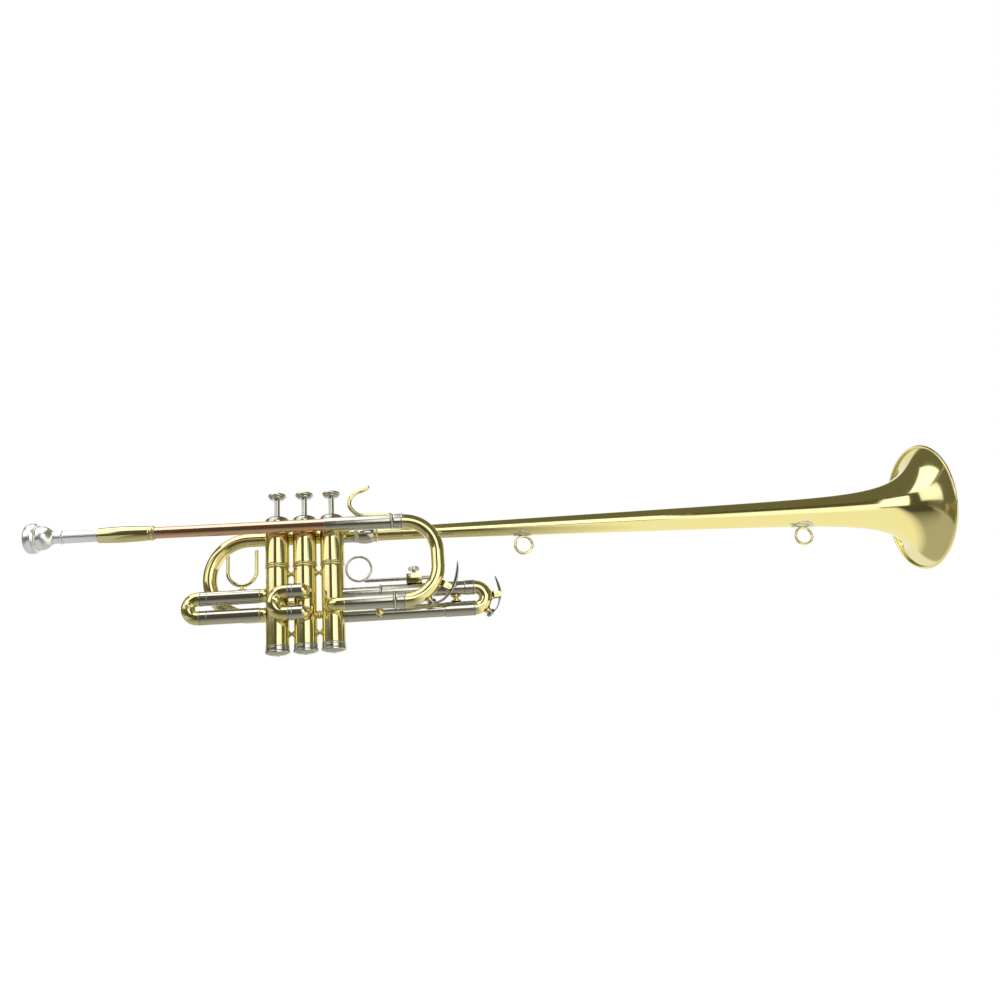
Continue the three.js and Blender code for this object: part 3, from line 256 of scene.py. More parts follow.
# Body, warmer tone, dirt, worn edge, gloss, smear, skin, coat and, where it has one, the grain.
metals = {
    "lacquered_brass": [
        (0.76, 0.70, 0.35), (0.78, 0.67, 0.30), (0.20, 0.14, 0.04), (0.90, 0.86, 0.58), 0.07, 0.10, 0.05, True],
    "rose_brass": [
        (0.78, 0.50, 0.36), (0.74, 0.42, 0.28), (0.20, 0.09, 0.05), (0.88, 0.70, 0.56), 0.07, 0.10, 0.05, True],
    "nickel_plate": [
        (0.60, 0.59, 0.53), (0.54, 0.53, 0.47), (0.14, 0.13, 0.09), (0.78, 0.77, 0.71), 0.09, 0.12, 0.05, False],
    # A darker copy of the nickel for the levers: its darkness is painted shade.
    "nickel_with_painted_shade": [
        (0.34, 0.33, 0.29), (0.28, 0.27, 0.24), (0.10, 0.09, 0.07), (0.60, 0.59, 0.54), 0.08, 0.12, 0.05, False],
    "silver_plate": [
        (0.96, 0.97, 1.00), (0.93, 0.93, 0.96), (0.45, 0.42, 0.38), (0.98, 0.98, 1.00), 0.26, 0.10, 0.05, False],
    "monel": [
        (0.48, 0.47, 0.44), (0.42, 0.41, 0.39), (0.15, 0.14, 0.12), (0.60, 0.59, 0.56), 0.22, 0.14, 0.15, False,
        RINGS],
    "spring_steel": [
        (0.30, 0.30, 0.31), (0.24, 0.24, 0.26), (0.08, 0.07, 0.06), (0.44, 0.44, 0.46), 0.22, 0.15, 0.10, False],
}
finishes = {name: metal(name, *values) for name, values in metals.items()}
BRASS, NICKEL, NICKEL_WITH_PAINTED_SHADE, STEEL = "lacquered_brass", "nickel_plate", "nickel_with_painted_shade", "spring_steel"
print("metals:", ", ".join(finishes))

# %% [markdown]
# The pads of the water keys are natural cork: pale brown, matt, with dark pores and grains. Voronoi
# cells give the grains and a fine noise gives the pores, because an even brown would look like
# plastic even on so small a piece.

# %% Cork
def cork_finish():
    """Pale brown grains with dark pores, and no gloss."""
    material, tree, shader = new_material("cork")
    place = tree.node("ShaderNodeTexCoord", output=3)
    grains = tree.node("ShaderNodeTexVoronoi", Vector=place, Scale=1400)
    pores = tree.node("ShaderNodeTexNoise", Vector=place, Scale=2600, Detail=3)
    tone = mixed(tree, grains, (0.50, 0.30, 0.15), (0.66, 0.45, 0.26))
    spotted = mixed(tree, (pores - 0.55) * 5, tone, (0.16, 0.08, 0.04))
    tree.feed(shader.inputs["Base Color"], spotted)
    tree.feed(shader.inputs["Roughness"], 0.8 + pores * 0.15)
    add_bump(tree, shader, grains - pores, 0.5)
    return material


finishes["cork"] = cork_finish()
print("finishes:", len(finishes))

# %% [markdown]
# ## Turned shapes
# Most fittings of a trumpet come off a lathe. A turned shape here is a list of radii and distances
# along its axis. Real edges are never sharp, and a sharp one shows no line of light, so each corner
# is rounded with a few extra points. A smooth bulge is drawn as a curve through a few points.

# %% Forms, curves and circles
class Form:
    """Corners and faces of one closed shape, with the marks of its hollows and edges."""

    def __init__(self, corners, faces, marks=None):
        self.corners = corners
        self.faces = faces
        self.marks = marks or [(0, 0)] * len(corners)


def spline(points, steps):
    """Points on a smooth curve through the given ones, in two or three dimensions."""
    spots = [Vector(point) for point in points]
    last = len(spots) - 1
    curve = []
    for i in range(last):
        p0, p1, p2, p3 = spots[max(i - 1, 0)], spots[i], spots[i + 1], spots[min(i + 2, last)]
        for s in range(steps):
            t = s / steps
            bent = 2 * p1 + (p2 - p0) * t + (2 * p0 - 5 * p1 + 4 * p2 - p3) * t**2
            curve.append((bent + (3 * p1 - p0 - 3 * p2 + p3) * t**3) / 2)
    return [*curve, spots[last]]


def through(points, steps=6):
    """A smooth curve through [radius, distance] points, whose corners are left as they are."""
    return [(*spot, 0) for spot in spline(points, steps)]


def oval(count, middle, half_width, half_height=None):
    """Points round an oval, or round a circle where only one half size is given."""
    tall = half_height or half_width
    turns = [2 * math.pi * k / count for k in range(count)]
    return [(middle[0] + half_width * math.cos(a), middle[1] + tall * math.sin(a)) for a in turns]


print("a circle of four points:", [(round(x), round(y)) for x, y in oval(4, (0, 0), 1)])

# %% [markdown]
# A corner is rounded by cutting it back along both sides and laying a small arc between the cuts. The
# points of the arc carry the mark of a hollow or of an edge, and one more point on either side, a
# little further off, lets the mark fade. A bevel modifier would round the corners but not mark them.

# %% Rounded outlines
ARC_STEPS = 4
MARK_REACH = 0.9
LEAST_BEND = math.radians(8)
CUT_SHARE, MARK_SHARE = 0.45, 0.48
TINY = 1e-6


def rounded(outline, rounding, ring):
    """The outline with each corner turned into an arc, and each point's hollow and edge marks."""
    count = len(outline)
    area = sum(
        outline[i][0] * outline[(i + 1) % count][1] - outline[(i + 1) % count][0] * outline[i][1]
        for i in range(count)
    )
    line = []
    for i, spot in enumerate(outline):
        here = Vector(spot[:2])
        size = spot[2] if len(spot) > 2 else rounding
        if not ring and i in (0, count - 1):
            line.append((here.x, here.y, 0, 0))
            continue
        back = Vector(outline[i - 1][:2]) - here
        on = Vector(outline[(i + 1) % count][:2]) - here
        sharp = size == 0 or back.length < TINY or on.length < TINY
        if sharp or math.pi - back.angle(on) < LEAST_BEND:
            line.append((here.x, here.y, 0, 0))
            continue
        bend = math.pi - back.angle(on)
        cross = (-back.x * on.y + back.y * on.x) * (1 if area > 0 else -1)
        mark = (1, 0) if cross < 0 else (0, 1)
        cut = min(size * math.tan(bend / 2), back.length * CUT_SHARE, on.length * CUT_SHARE)
        start, end = here + back.normalized() * cut, here + on.normalized() * cut
        far_back = min(cut + MARK_REACH, back.length * MARK_SHARE)
        far_on = min(cut + MARK_REACH, on.length * MARK_SHARE)
        lead, tail = here + back.normalized() * far_back, here + on.normalized() * far_on
        line.append((lead.x, lead.y, 0, 0))
        for s in range(ARC_STEPS + 1):
            t = s / ARC_STEPS
            point = start * (1 - t) ** 2 + here * (2 * t * (1 - t)) + end * t**2
            line.append((point.x, point.y, *mark))
        line.append((tail.x, tail.y, 0, 0))
    return line


print("points on a rounded square:", len(rounded([(1, 0), (2, 0), (2, 1), (1, 1)], 0.1, True)))

# %% [markdown]
# A lathe shape could also come from a Screw modifier. Writing the rows of corners by hand keeps the
# two marks on every corner, closes the shape where it meets its axis, and gives the same mesh each
# time. Smooth shading hides the steps between its 24 to 96 sides.

# %% Lathe shapes
UP, BACK = (0, 0, 1), (0, 1, 0)


def turned(outline, origin=(0, 0, 0), direction=(1, 0, 0), sides=64, rounding=0.15):
    """A lathe shape: [radius, distance] pairs spun round an axis. A solid one starts and ends on it."""
    ring = not (outline[0][0] == 0 and outline[-1][0] == 0)
    line = rounded(outline, rounding, ring)
    axis = Vector(direction).normalized()
    side = axis.orthogonal().normalized() if abs(axis.z) > 0.99 else axis.cross((0, 0, 1)).normalized()
    other = axis.cross(side)
    base = Vector(origin)
    corners, marks, rows = [], [], []
    for radius, distance, hollow, edge in line:
        if radius < TINY:
            rows.append([len(corners)] * sides)
            corners.append(base + axis * distance)
            marks.append((hollow, edge))
            continue
        rows.append(list(range(len(corners), len(corners) + sides)))
        for c, s in oval(sides, (0, 0), 1):
            corners.append(base + axis * distance + (side * c + other * s) * radius)
            marks.append((hollow, edge))
    faces = []
    pairs = list(zip(rows, rows[1:])) + ([(rows[-1], rows[0])] if ring else [])
    for low, high in pairs:
        for s in range(sides):
            n = (s + 1) % sides
            corner_ids = [low[s], low[n], high[n], high[s]]
            face = [c for k, c in enumerate(corner_ids) if c not in corner_ids[:k]]
            if len(face) > 2:
                faces.append(face)
    return Form(corners, faces, marks)


print("a turned washer has", len(turned([(2, 0), (3, 0), (3, 1), (2, 1)]).faces), "faces")

# %% [markdown]
# ## Plates, blades and wrapped feet
# A few pieces aren't round: flat lugs with rounded edges, the curved blades of the water keys, and
# the thin feet that are bent round a tube before they are soldered on. Each is built from rings of
# points, so that its edge can be rounded as well.

# %% Slabs, blades and patches
def stacked(rings):
    """A closed shape through rings of equally many points, with a face at either end."""
    count = len(rings[0])
    corners = [spot for ring in rings for spot in ring]
    faces = []
    for level in range(len(rings) - 1):
        for s in range(count):
            n = (s + 1) % count
            low, high = level * count, (level + 1) * count
            faces.append([low + s, low + n, high + n, high + s])
    faces.append(list(range(count)))
    faces.append([len(corners) - count + s for s in range(count)])
    return Form(corners, faces)


def slab(outline, near, far, bevel=0.25):
    """A flat plate with rounded edges: its outline in X and Z, between two places along Y."""
    middle = sum((Vector(spot) for spot in outline), Vector((0, 0))) / len(outline)
    reach = max((Vector(spot) - middle).length for spot in outline)
    rise = bevel * 0.3
    levels = [(near, 1), (near + rise, 0.3), (near + bevel, 0), (far - bevel, 0), (far - rise, 0.3), (far, 1)]
    rings = []
    for y, inset in levels:
        share = 1 - bevel * inset / reach
        flat = [middle + (Vector(spot) - middle) * share for spot in outline]
        rings.append([Vector((spot.x, y, spot.y)) for spot in flat])
    return stacked(rings)


def blade(spots, widths, thicknesses, middle_y, steps=10, sides=24):
    """A bent strip, a little wider on its outer face: [x, z] spots with a width along Y at each."""
    line = spline(spots, steps)
    last = len(line) - 1
    rings = []
    for i, spot in enumerate(line):
        along = (line[min(i + 1, last)] - line[max(i - 1, 0)]).normalized()
        across = Vector((-along.y, along.x))
        share = i / last * (len(widths) - 1)
        k = min(int(share), len(widths) - 2)
        t = share - k
        half_width = (widths[k] * (1 - t) + widths[k + 1] * t) / 2
        half_thick = (thicknesses[k] * (1 - t) + thicknesses[k + 1] * t) / 2
        ring = []
        for c, s in oval(sides, (0, 0), 1):
            rise = math.copysign(abs(s) ** 0.5, s)
            aside = math.copysign(abs(c) ** 0.2, c) * half_width * (1 - 0.1 * rise)
            flat = spot + across * (rise * half_thick)
            ring.append(Vector((flat.x, middle_y + aside, flat.y)))
        rings.append(ring)
    return stacked(rings)


print("a square plate has", len(slab([(0, 0), (9, 0), (9, 9), (0, 9)], 0, 1).faces), "faces")

# %% [markdown]
# A foot that is soldered on follows the tube under it. Bending a flat plate with a modifier would
# need a helper object, so the outline is wrapped round the tube point by point. Its lowest ring sinks
# into the tube, and its edge is rounded in three steps.

# %% Wrapped feet
SUNK = -0.25


def patch(outline, radius_at, axis_y, axis_z, angle, thickness, levels=7):
    """A thin plate bent round a tube along X. The outline is [x, distance round the tube] pairs."""
    middle = sum((Vector(spot) for spot in outline), Vector((0, 0))) / len(outline)

    def place(spot, height):
        radius = radius_at(spot.x)
        around = angle + spot.y / radius
        full = radius + height
        return Vector((spot.x, axis_y + full * math.cos(around), axis_z + full * math.sin(around)))

    shrink = [1 - 0.06 * (1 - math.cos(math.pi / 2 * k / 3)) for k in range(4)]
    rings = [[place(Vector(s), SUNK) for s in outline]]
    for k, share in enumerate(shrink):
        height = thickness * math.sin(math.pi / 2 * k / 3)
        rings.append([place(middle + (Vector(s) - middle) * share, height) for s in outline])
    for k in range(1, levels):
        share = shrink[-1] * (1 - k / levels)
        rings.append([place(middle + (Vector(s) - middle) * share, thickness) for s in outline])
    form = stacked(rings)
    form.faces.pop(-2)
    count = len(outline)
    lower = len(form.corners)
    form.corners = form.corners + [place(middle, SUNK)]
    form.marks = [(0, 0)] * len(form.corners)
    form.faces += [[s, (s + 1) % count, lower] for s in range(count)]
    return form


print("a foot has", len(patch(oval(8, (0, 0), 3), lambda x: 9, 0, 0, 0, 1).faces), "faces")

# %% [markdown]
# ## Node trees that make meshes
# What repeats or follows a line is made by Geometry Nodes: tubes and wires along a curve, wound
# springs, ribs round a head, copies in a row, and the bell, whose outline follows a rule. Each tree
# is built once with named inputs, and runs on a small carrier object that is removed afterwards.

# %% Running a tree
def new_tree(name, inputs):
    """An empty geometry tree with named inputs, its group input and a function that ends it."""
    group = bpy.data.node_groups.new(name, "GeometryNodeTree")
    group.interface.new_socket("Geometry", in_out="INPUT", socket_type="NodeSocketGeometry")
    for label, kind in inputs.items():
        group.interface.new_socket(label, in_out="INPUT", socket_type=kind)
    group.interface.new_socket("Geometry", in_out="OUTPUT", socket_type="NodeSocketGeometry")
    tree = Tree(group)
    entry = group.nodes.new("NodeGroupInput")
    given = {socket.name: Link(group, socket) for socket in entry.outputs if socket.name}

    def end(geometry):
        whole = tree.node("GeometryNodeRealizeInstances", Geometry=geometry)
        finished = tree.node("GeometryNodeSetMaterial", Geometry=whole, Material=given["Finish"])
        way_out = group.nodes.new("NodeGroupOutput")
        feed(group, way_out.inputs[0], finished)

    return group, tree, given, end


def run_tree(group, carrier_data, values):
    """The plain mesh that a tree makes on a carrier, which is then removed."""
    carrier = bpy.data.objects.new("carrier", carrier_data)
    scene.collection.objects.link(carrier)
    modifier = carrier.modifiers.new("tree", "NODES")
    modifier.node_group = group
    for item in group.interface.items_tree:
        if item.in_out == "INPUT" and item.name in values:
            modifier[item.identifier] = values[item.name]
    graph = bpy.context.evaluated_depsgraph_get()
    mesh = bpy.data.meshes.new_from_object(carrier.evaluated_get(graph), depsgraph=graph)
    bpy.data.objects.remove(carrier)
    return mesh


print("trees run on a carrier object")

# %% [markdown]
# A tube is a circle swept along a path. A curve object with a bevel could do it too, but the tree
# closes the ends, gives the same mesh each time, and can narrow a wire towards its tips.

# %% Tubes and wires
FLOAT, COUNT, FINISH = "NodeSocketFloat", "NodeSocketInt", "NodeSocketMaterial"
tube_group, tube_tree, given, end_tree = new_tree(
    "tube along a curve", {"Radius": FLOAT, "Sides": COUNT, "Finish": FINISH})
circle = tube_tree.node(
    "GeometryNodeCurvePrimitiveCircle", Resolution=given["Sides"], Radius=given["Radius"])
own_size = tube_tree.node("GeometryNodeInputRadius")
tube = tube_tree.node(
    "GeometryNodeCurveToMesh", Curve=given["Geometry"], Profile_Curve=circle, Scale=own_size, Fill_Caps=True)
end_tree(tube)


def tube_along(points, radius, sizes=None, closed=False, sides=48):
    """A tube or wire along points in millimetres. Sizes narrow or widen it at each point."""
    curve = bpy.data.curves.new("path", "CURVE")
    curve.dimensions = "3D"
    line = curve.splines.new("POLY")
    line.points.add(len(points) - 1)
    line.use_cyclic_u = closed
    for i, spot in enumerate(points):
        line.points[i].co = (*(Vector(spot) * MM), 1)
        line.points[i].radius = sizes[i] if sizes else 1
    return run_tree(tube_group, curve, {"Radius": radius * MM, "Sides": sides})


print("tree:", tube_group.name)

# %% [markdown]
# Tubes are bent to round arcs, because each bow is drawn over a form. A path is therefore written as
# its corners and the radius of the bend at each. The ends of a free wire are rounded like a ball, so
# that they don't scratch: a few smaller and smaller circles are added past each tip.

# %% Paths of tubes and wires
NEAR = 0.02


def route(corners, bends, steps=24):
    """Straight runs through the corners, with a round bend at each inner corner."""
    corners = [Vector(corner) for corner in corners]
    points = [corners[0]]
    for before, corner, after, bend in zip(corners, corners[1:], corners[2:], bends):
        inward, outward = (corner - before).normalized(), (after - corner).normalized()
        angle = inward.angle(outward)
        start = corner - inward * (bend * math.tan(angle / 2))
        side = (outward - inward * math.cos(angle)).normalized()
        for s in range(steps + 1):
            turned_by = angle * s / steps
            spot = start + inward * (bend * math.sin(turned_by))
            spot += side * (bend * (1 - math.cos(turned_by)))
            if (spot - points[-1]).length > NEAR:
                points.append(spot)
    if (corners[-1] - points[-1]).length > NEAR:
        points.append(corners[-1])
    return points


def round_tips(points, radius, steps=6):
    """The same wire with ball ends: extra points at its tips and the size of each point."""
    quarter = [math.pi / 2 * k / steps for k in range(1, steps + 1)]
    before, after = (points[0] - points[1]).normalized(), (points[-1] - points[-2]).normalized()
    first = [points[0] + before * radius * math.sin(a) for a in quarter]
    last = [points[-1] + after * radius * math.sin(a) for a in quarter]
    shrinking = [max(math.cos(a), 0.02) for a in quarter]
    sizes = [*reversed(shrinking), *([1] * len(points)), *shrinking]
    return [*reversed(first), *points, *last], sizes


print("points on a right-angled bend:", len(route([(0, 0, 0), (9, 0, 0), (9, 9, 0)], [5])))

# %% [markdown]
# Springs are wound from round wire. The tree sweeps a small circle along a spiral, whose turns,
# height and wire are inputs, so that the same tree makes the long springs in the valves and the
# short ones on the water keys.

# %% Wound springs
spring_group, spring_tree, given, end_tree = new_tree(
    "wound spring",
    {"Turns": FLOAT, "Radius": FLOAT, "Height": FLOAT, "Wire": FLOAT, "Finish": FINISH})
spiral = spring_tree.node(
    "GeometryNodeCurveSpiral", Resolution=28, Rotations=given["Turns"], Start_Radius=given["Radius"],
    End_Radius=given["Radius"], Height=given["Height"])
wire = spring_tree.node("GeometryNodeCurvePrimitiveCircle", Resolution=12, Radius=given["Wire"])
end_tree(spring_tree.node("GeometryNodeCurveToMesh", Curve=spiral, Profile_Curve=wire, Fill_Caps=True))


def wound(radius, wire_radius, turns, height):
    """A spring round the Z axis that stands on zero."""
    values = {"Turns": turns, "Radius": radius * MM, "Height": height * MM, "Wire": wire_radius * MM}
    return run_tree(spring_group, bpy.data.meshes.new("empty"), values)


print("tree:", spring_group.name)

# %% [markdown]
# Two things repeat: the ribs that let fingers grip a thumbscrew, and the studs between the casings.
# One tree puts thin rods on the points of a circle, and the other puts copies on a line. Both end
# with real meshes, since the export can't read instances.

# %% Ribs round a head, and copies in a row
rib_group, rib_tree, given, end_tree = new_tree(
    "ribs round an axis",
    {"Count": COUNT, "Radius": FLOAT, "Height": FLOAT, "Rib": FLOAT, "Finish": FINISH})
spots = rib_tree.node("GeometryNodeMeshCircle", Vertices=given["Count"], Radius=given["Radius"])
rib = rib_tree.node(
    "GeometryNodeMeshCylinder", {"fill_type": "NGON"}, Vertices=10, Radius=given["Rib"], Depth=given["Height"])
end_tree(rib_tree.node("GeometryNodeInstanceOnPoints", Points=spots, Instance=rib))

row_group, row_tree, given, end_tree = new_tree(
    "copies in a row", {"Count": COUNT, "Pitch": FLOAT, "Finish": FINISH})
step = row_tree.node("ShaderNodeCombineXYZ", X=given["Pitch"])
places = row_tree.node("GeometryNodeMeshLine", Count=given["Count"], Offset=step)
end_tree(row_tree.node("GeometryNodeInstanceOnPoints", Points=places, Instance=given["Geometry"]))


def ribs(count, radius, height, rib_radius):
    """Upright ribs round the Z axis, half above zero and half below."""
    values = {"Count": count, "Radius": radius * MM, "Height": height * MM, "Rib": rib_radius * MM}
    return run_tree(rib_group, bpy.data.meshes.new("empty"), values)


print("trees:", rib_group.name, "and", row_group.name)

# %% [markdown]
# ## From forms to pieces
# A piece may join several forms, such as a sleeve and its end ring. Joining them in a bmesh keeps the
# marks of hollows and edges as attributes of the mesh, where the finishes read them.

# %% One mesh from several forms
def add_forms(target, forms):
    """Puts forms, in millimetres, and plain meshes, in metres, into one mesh."""
    hollow = target.verts.layers.float.get("hollow") or target.verts.layers.float.new("hollow")
    edge = target.verts.layers.float.get("edge") or target.verts.layers.float.new("edge")
    for form in forms:
        if isinstance(form, bpy.types.Mesh):
            target.from_mesh(form)
            continue
        corners = [target.verts.new(Vector(spot) * MM) for spot in form.corners]
        for corner, (hollow_mark, edge_mark) in zip(corners, form.marks):
            corner[hollow] = hollow_mark
            corner[edge] = edge_mark
        for face in form.faces:
            target.faces.new([corners[c] for c in face])
    target.verts.ensure_lookup_table()


def moved(form, offset):
    """A copy of a form, or the mesh itself, shifted by millimetres."""
    if isinstance(form, bpy.types.Mesh):
        form.transform(Matrix.Translation(Vector(offset) * MM))
        return form
    return Form([Vector(c) + Vector(offset) for c in form.corners], form.faces, form.marks)


def in_a_row(forms, count, pitch):
    """The same forms several times over along X."""
    source = bmesh.new()
    add_forms(source, forms)
    mesh = bpy.data.meshes.new("source")
    source.to_mesh(mesh)
    source.free()
    return run_tree(row_group, mesh, {"Count": count, "Pitch": pitch * MM})


print("forms can be joined, moved and repeated")

# %% [markdown]
# The mesh of a piece keeps its place, and its object stays at the origin. Its faces point outwards,
# and faces that meet at more than 38 degrees keep a hard line between them. Then the piece is told
# which body carries it and which CAD nodes it stands for, and gets the material of its finish.

# %% Making a piece
WELD = 0.002
CREASE = math.radians(38)
made = {}
told = []


def piece(name, body, finish, forms, replaces=()):
    """One named piece of the trumpet on its body, in place of its CAD nodes."""
    source = bmesh.new()
    add_forms(source, forms)
    bmesh.ops.remove_doubles(source, verts=source.verts, dist=WELD * MM)
    bmesh.ops.recalc_face_normals(source, faces=source.faces)
    mesh = bpy.data.meshes.new(name)
    source.to_mesh(mesh)
    source.free()
    mesh.materials.clear()
    mesh.materials.append(finishes[finish])
    mesh.shade_smooth()
    mesh.set_sharp_from_angle(angle=CREASE)
    obj = bpy.data.objects.new(name, mesh)
    scene.collection.objects.link(obj)
    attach(obj, body)
    if replaces:
        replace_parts(obj, *replaces)
    made[name] = len(mesh.polygons)
    return obj


def tell_pieces():
    """Prints the pieces that were made since it was last called."""
    new = [name for name in made if name not in told]
    told.extend(new)
    print("made:", ", ".join(new))


print("welded within", WELD, "mm")

# %% [markdown]
# ## Mouthpiece
# The wind enters at the left, through a heavy mouthpiece that is turned from one bar and silver
# plated, because silver is kind to the lips. It is one turned outline, out along the rim, the cup and
# the shank, and back through the bore. Its soft parts are curves, and its beads keep their corners.

# %% Mouthpiece
SIDE, LEAD, BELL = 18.6, 51.6, 49.9
LEAD_AXIS = (0, -SIDE, LEAD)
RIM_X = -245.5


def from_rim(points):
    """A smooth part of the outline, measured from the mouthpiece's end."""
    return [(r, RIM_X + d, size) for r, d, size in through(points)]


def at_rim(*points):
    """Plain corners of the outline, measured from the mouthpiece's end."""
    return [(point[0], RIM_X + point[1], *point[2:]) for point in points]


rim = [(8.6, 4.8), (8.95, 3.9), (9.7, 3.34), (10.7, 3.2), (11.7, 3.5), (12.7, 4.4), (13.4, 5.8), (13.8, 7.8)]
back_of_cup = [(10.75, 14.3), (10.75, 16.9), (10.35, 19.4), (9.3, 22), (7.6, 24.2), (6.2, 25.7), (5.6, 26.9),
               (5.45, 28.5), (5.4, 31)]
inside_of_cup = [(2.5, 14.4), (4.4, 13.2), (6.3, 11.2), (7.6, 8.6), (8.3, 6.2), (8.58, 5.0)]
mouthpiece_outline = [
    *from_rim(rim),
    *at_rim((13.8, 10.7), (12.9, 12.6), (12.45, 12.9), (12.3, 13.5), (10.9, 13.8)),
    *from_rim(back_of_cup),
    *at_rim((5.4, 32), (6.3, 32.4, 0.5), (6.3, 34.1, 0.5), (5.6, 34.5), (5.65, 37), (5.45, 60), (4.95, 87.5)),
    *at_rim((4.1, 87.5), (1.9, 20), (1.9, 15.7, 1)),
    *from_rim(inside_of_cup),
]
piece("mouthpiece_turned", "mouthpiece_piece", "silver_plate",
      [turned(mouthpiece_outline, LEAD_AXIS, sides=96)], ["mouthpiece"])
tell_pieces()

# %% [markdown]
# ## Receiver and leadpipe
# The mouthpiece's shank sits in the receiver, a brass barrel that swells in the middle so that it
# doesn't split. The leadpipe behind it is made of copper-rich brass, which looks pink and withstands
# breath. Both are plain lathe shapes, with the bore drawn as the second half of the outline.

# %% Receiver and leadpipe
barrel = [(6.75, -179.6), (7.0, -175), (7.3, -168), (7.42, -160), (7.25, -150), (6.85, -140.6), (6.5, -136.4)]
receiver_outline = [
    (5.95, -180.6), (6.55, -180.6, 0.3), *through(barrel),
    (6.35, -135.8), (6.35, -134.8), (6.9, -134.5, 0.4), (6.9, -132.9, 0.4), (6.3, -132.6), (6.2, -131.4),
    (5.6, -131.4), (5.6, -150), (5.0, -152), (5.0, -158), (5.5, -158),
]
piece("receiver_barrel", "instrument", BRASS, [turned(receiver_outline, LEAD_AXIS)], ["mouthpiece_receiver"])
leadpipe_outline = [(4.6, -150), (5.2, -150), (5.8, 20.8), (5.8, 34), (5.2, 34)]
piece("leadpipe_tube", "instrument", "rose_brass", [turned(leadpipe_outline, LEAD_AXIS)], ["leadpipe"])
tell_pieces()

# %% [markdown]
# ## Main tuning slide
# Two nickel sleeves are soldered to the trumpet, and the slide's two legs run inside them. Each leg
# ends in a ferrule that holds the brass bow. A bead strengthens the open end of each sleeve, because
# that is where it would split. All slides share these outlines, so they are functions.

# %% Sleeves and legs
LOWER = -22.7
LEG_BORE, LEG = 5.4, 5.9
SLEEVE_BORE, SLEEVE, BEAD = 6.2, 6.6, 7.45
BOW, FERRULE, THIN_FERRULE = 6.4, 7.0, 6.6


def bead(radius, start, end, base):
    """Outline of a rounded ring that stands on a tube."""
    middle, half = (start + end) / 2, (end - start) / 2
    turns = [math.pi * k / 8 for k in range(1, 8)]
    return [(base + (radius - base) * math.sin(a), middle - half * math.cos(a), 0) for a in turns]


def sleeve(start, end, bead_start):
    """Outline of a sleeve between two places along X, with a bead at its far end."""
    ring = bead(BEAD, bead_start, end - 0.15, SLEEVE)
    return [(SLEEVE_BORE, start), (SLEEVE, start), (SLEEVE, bead_start), *ring, (SLEEVE, end), (SLEEVE_BORE, end)]


def leg(start, ferrule, bow, wide=FERRULE):
    """Outline of a slide's inner leg and the ferrule at its end, with the seat of the bow."""
    lip = math.copysign(0.9, bow - start)
    seat = math.copysign(4.3, bow - start)
    return [
        (LEG_BORE, start), (LEG, start), (LEG, ferrule), (wide, ferrule), (wide, bow - lip),
        (wide + 0.1, bow - lip), (wide + 0.1, bow), (BOW + 0.05, bow), (BOW + 0.05, bow - seat),
        (LEG_BORE, bow - seat),
    ]


piece("upper_sleeve", "instrument", NICKEL,
      [turned(sleeve(20.8, 83.2, 81.2), LEAD_AXIS)], ["tuning_upper_sleeve"])
for label, height in (("upper", LEAD), ("lower", LOWER)):
    piece(f"tuning_leg_{label}", "tuning_slide", NICKEL,
          [turned(leg(39, 83.5, 92), (0, -SIDE, height))], [f"tuning_{label}_leg"])
tell_pieces()

# %% [markdown]
# The lower sleeve ends in an elbow that is soldered to the third casing. It could be one swept tube,
# but its collar and the foot that fits the casing are turned, and that is how they are made here too.

# %% Lower sleeve, elbow and bow
lower_sleeve = [(LEG_BORE, 37), *sleeve(37, 83.2, 81.2)[1:], (SLEEVE_BORE, 39.2), (LEG_BORE, 39.2)]
piece("lower_sleeve", "instrument", NICKEL,
      [turned(lower_sleeve, (0, -SIDE, LOWER))], ["tuning_lower_sleeve"])
elbow = route([(37.4, -SIDE, LOWER), (25.2, -SIDE, LOWER), (25.2, -9.6, LOWER)], [6.6])
elbow_foot = [(0, -12.2), *through([(6.4, -12.2), (6.7, -11.4), (7.6, -10.2), (8.4, -9.4)]), (0, -9.4)]
piece("lower_sleeve_elbow", "instrument", BRASS, [
    tube_along(elbow, BOW),
    turned([(0, 36.2), (6.75, 36.2), (6.75, 37.5), (0, 37.5)], (0, -SIDE, LOWER)),
    turned(elbow_foot, (25.2, 0, LOWER), BACK),
])
bow = route([(88, -SIDE, LEAD), (122.8, -SIDE, LEAD), (122.8, -SIDE, LOWER), (88, -SIDE, LOWER)],
            [30.8, 30.8], 40)
piece("tuning_bow_tube", "tuning_slide", BRASS, [tube_along(bow, BOW, sides=64)], ["tuning_bow"])
tell_pieces()

# %% [markdown]
# ## Water keys
# Breath turns to water in the tubes, so each of the two bows has a small valve at its lowest point: a
# sprung lever presses a cork on a nozzle. Both keys are made by the same functions, from angles and
# distances round the bend of their bow, because that is how they lie on it.

# %% Nozzle and pad
def around(centre, degrees, radius):
    """A spot at an angle and a distance round the bend of a bow, in X and Z."""
    angle = math.radians(degrees)
    return Vector((centre[0] + radius * math.cos(angle), centre[1] + radius * math.sin(angle)))


def key_nozzle(name, body, skin, base, along):
    """The nozzle, which widens to a foot on the bow."""
    foot = through([(4.4, skin - 0.4), (3.6, skin + 0.2), (3.1, skin + 1)])
    outline = [(1.5, skin - 1), *foot, (3.1, skin + 2.4), (1.5, skin + 2.4)]
    piece(f"{name}_nozzle", body, BRASS, [turned(outline, base, along, 40)])


def key_pad(name, body, skin, base, along, node):
    """The round cork that closes the nozzle."""
    outline = [(0, skin + 2.7), (3.9, skin + 2.7, 0.4), (3.9, skin + 4.5), (0, skin + 4.5)]
    piece(f"{name}_pad", body, "cork", [turned(outline, base, along, 40)], [node])


print("key parts: nozzle, pad")
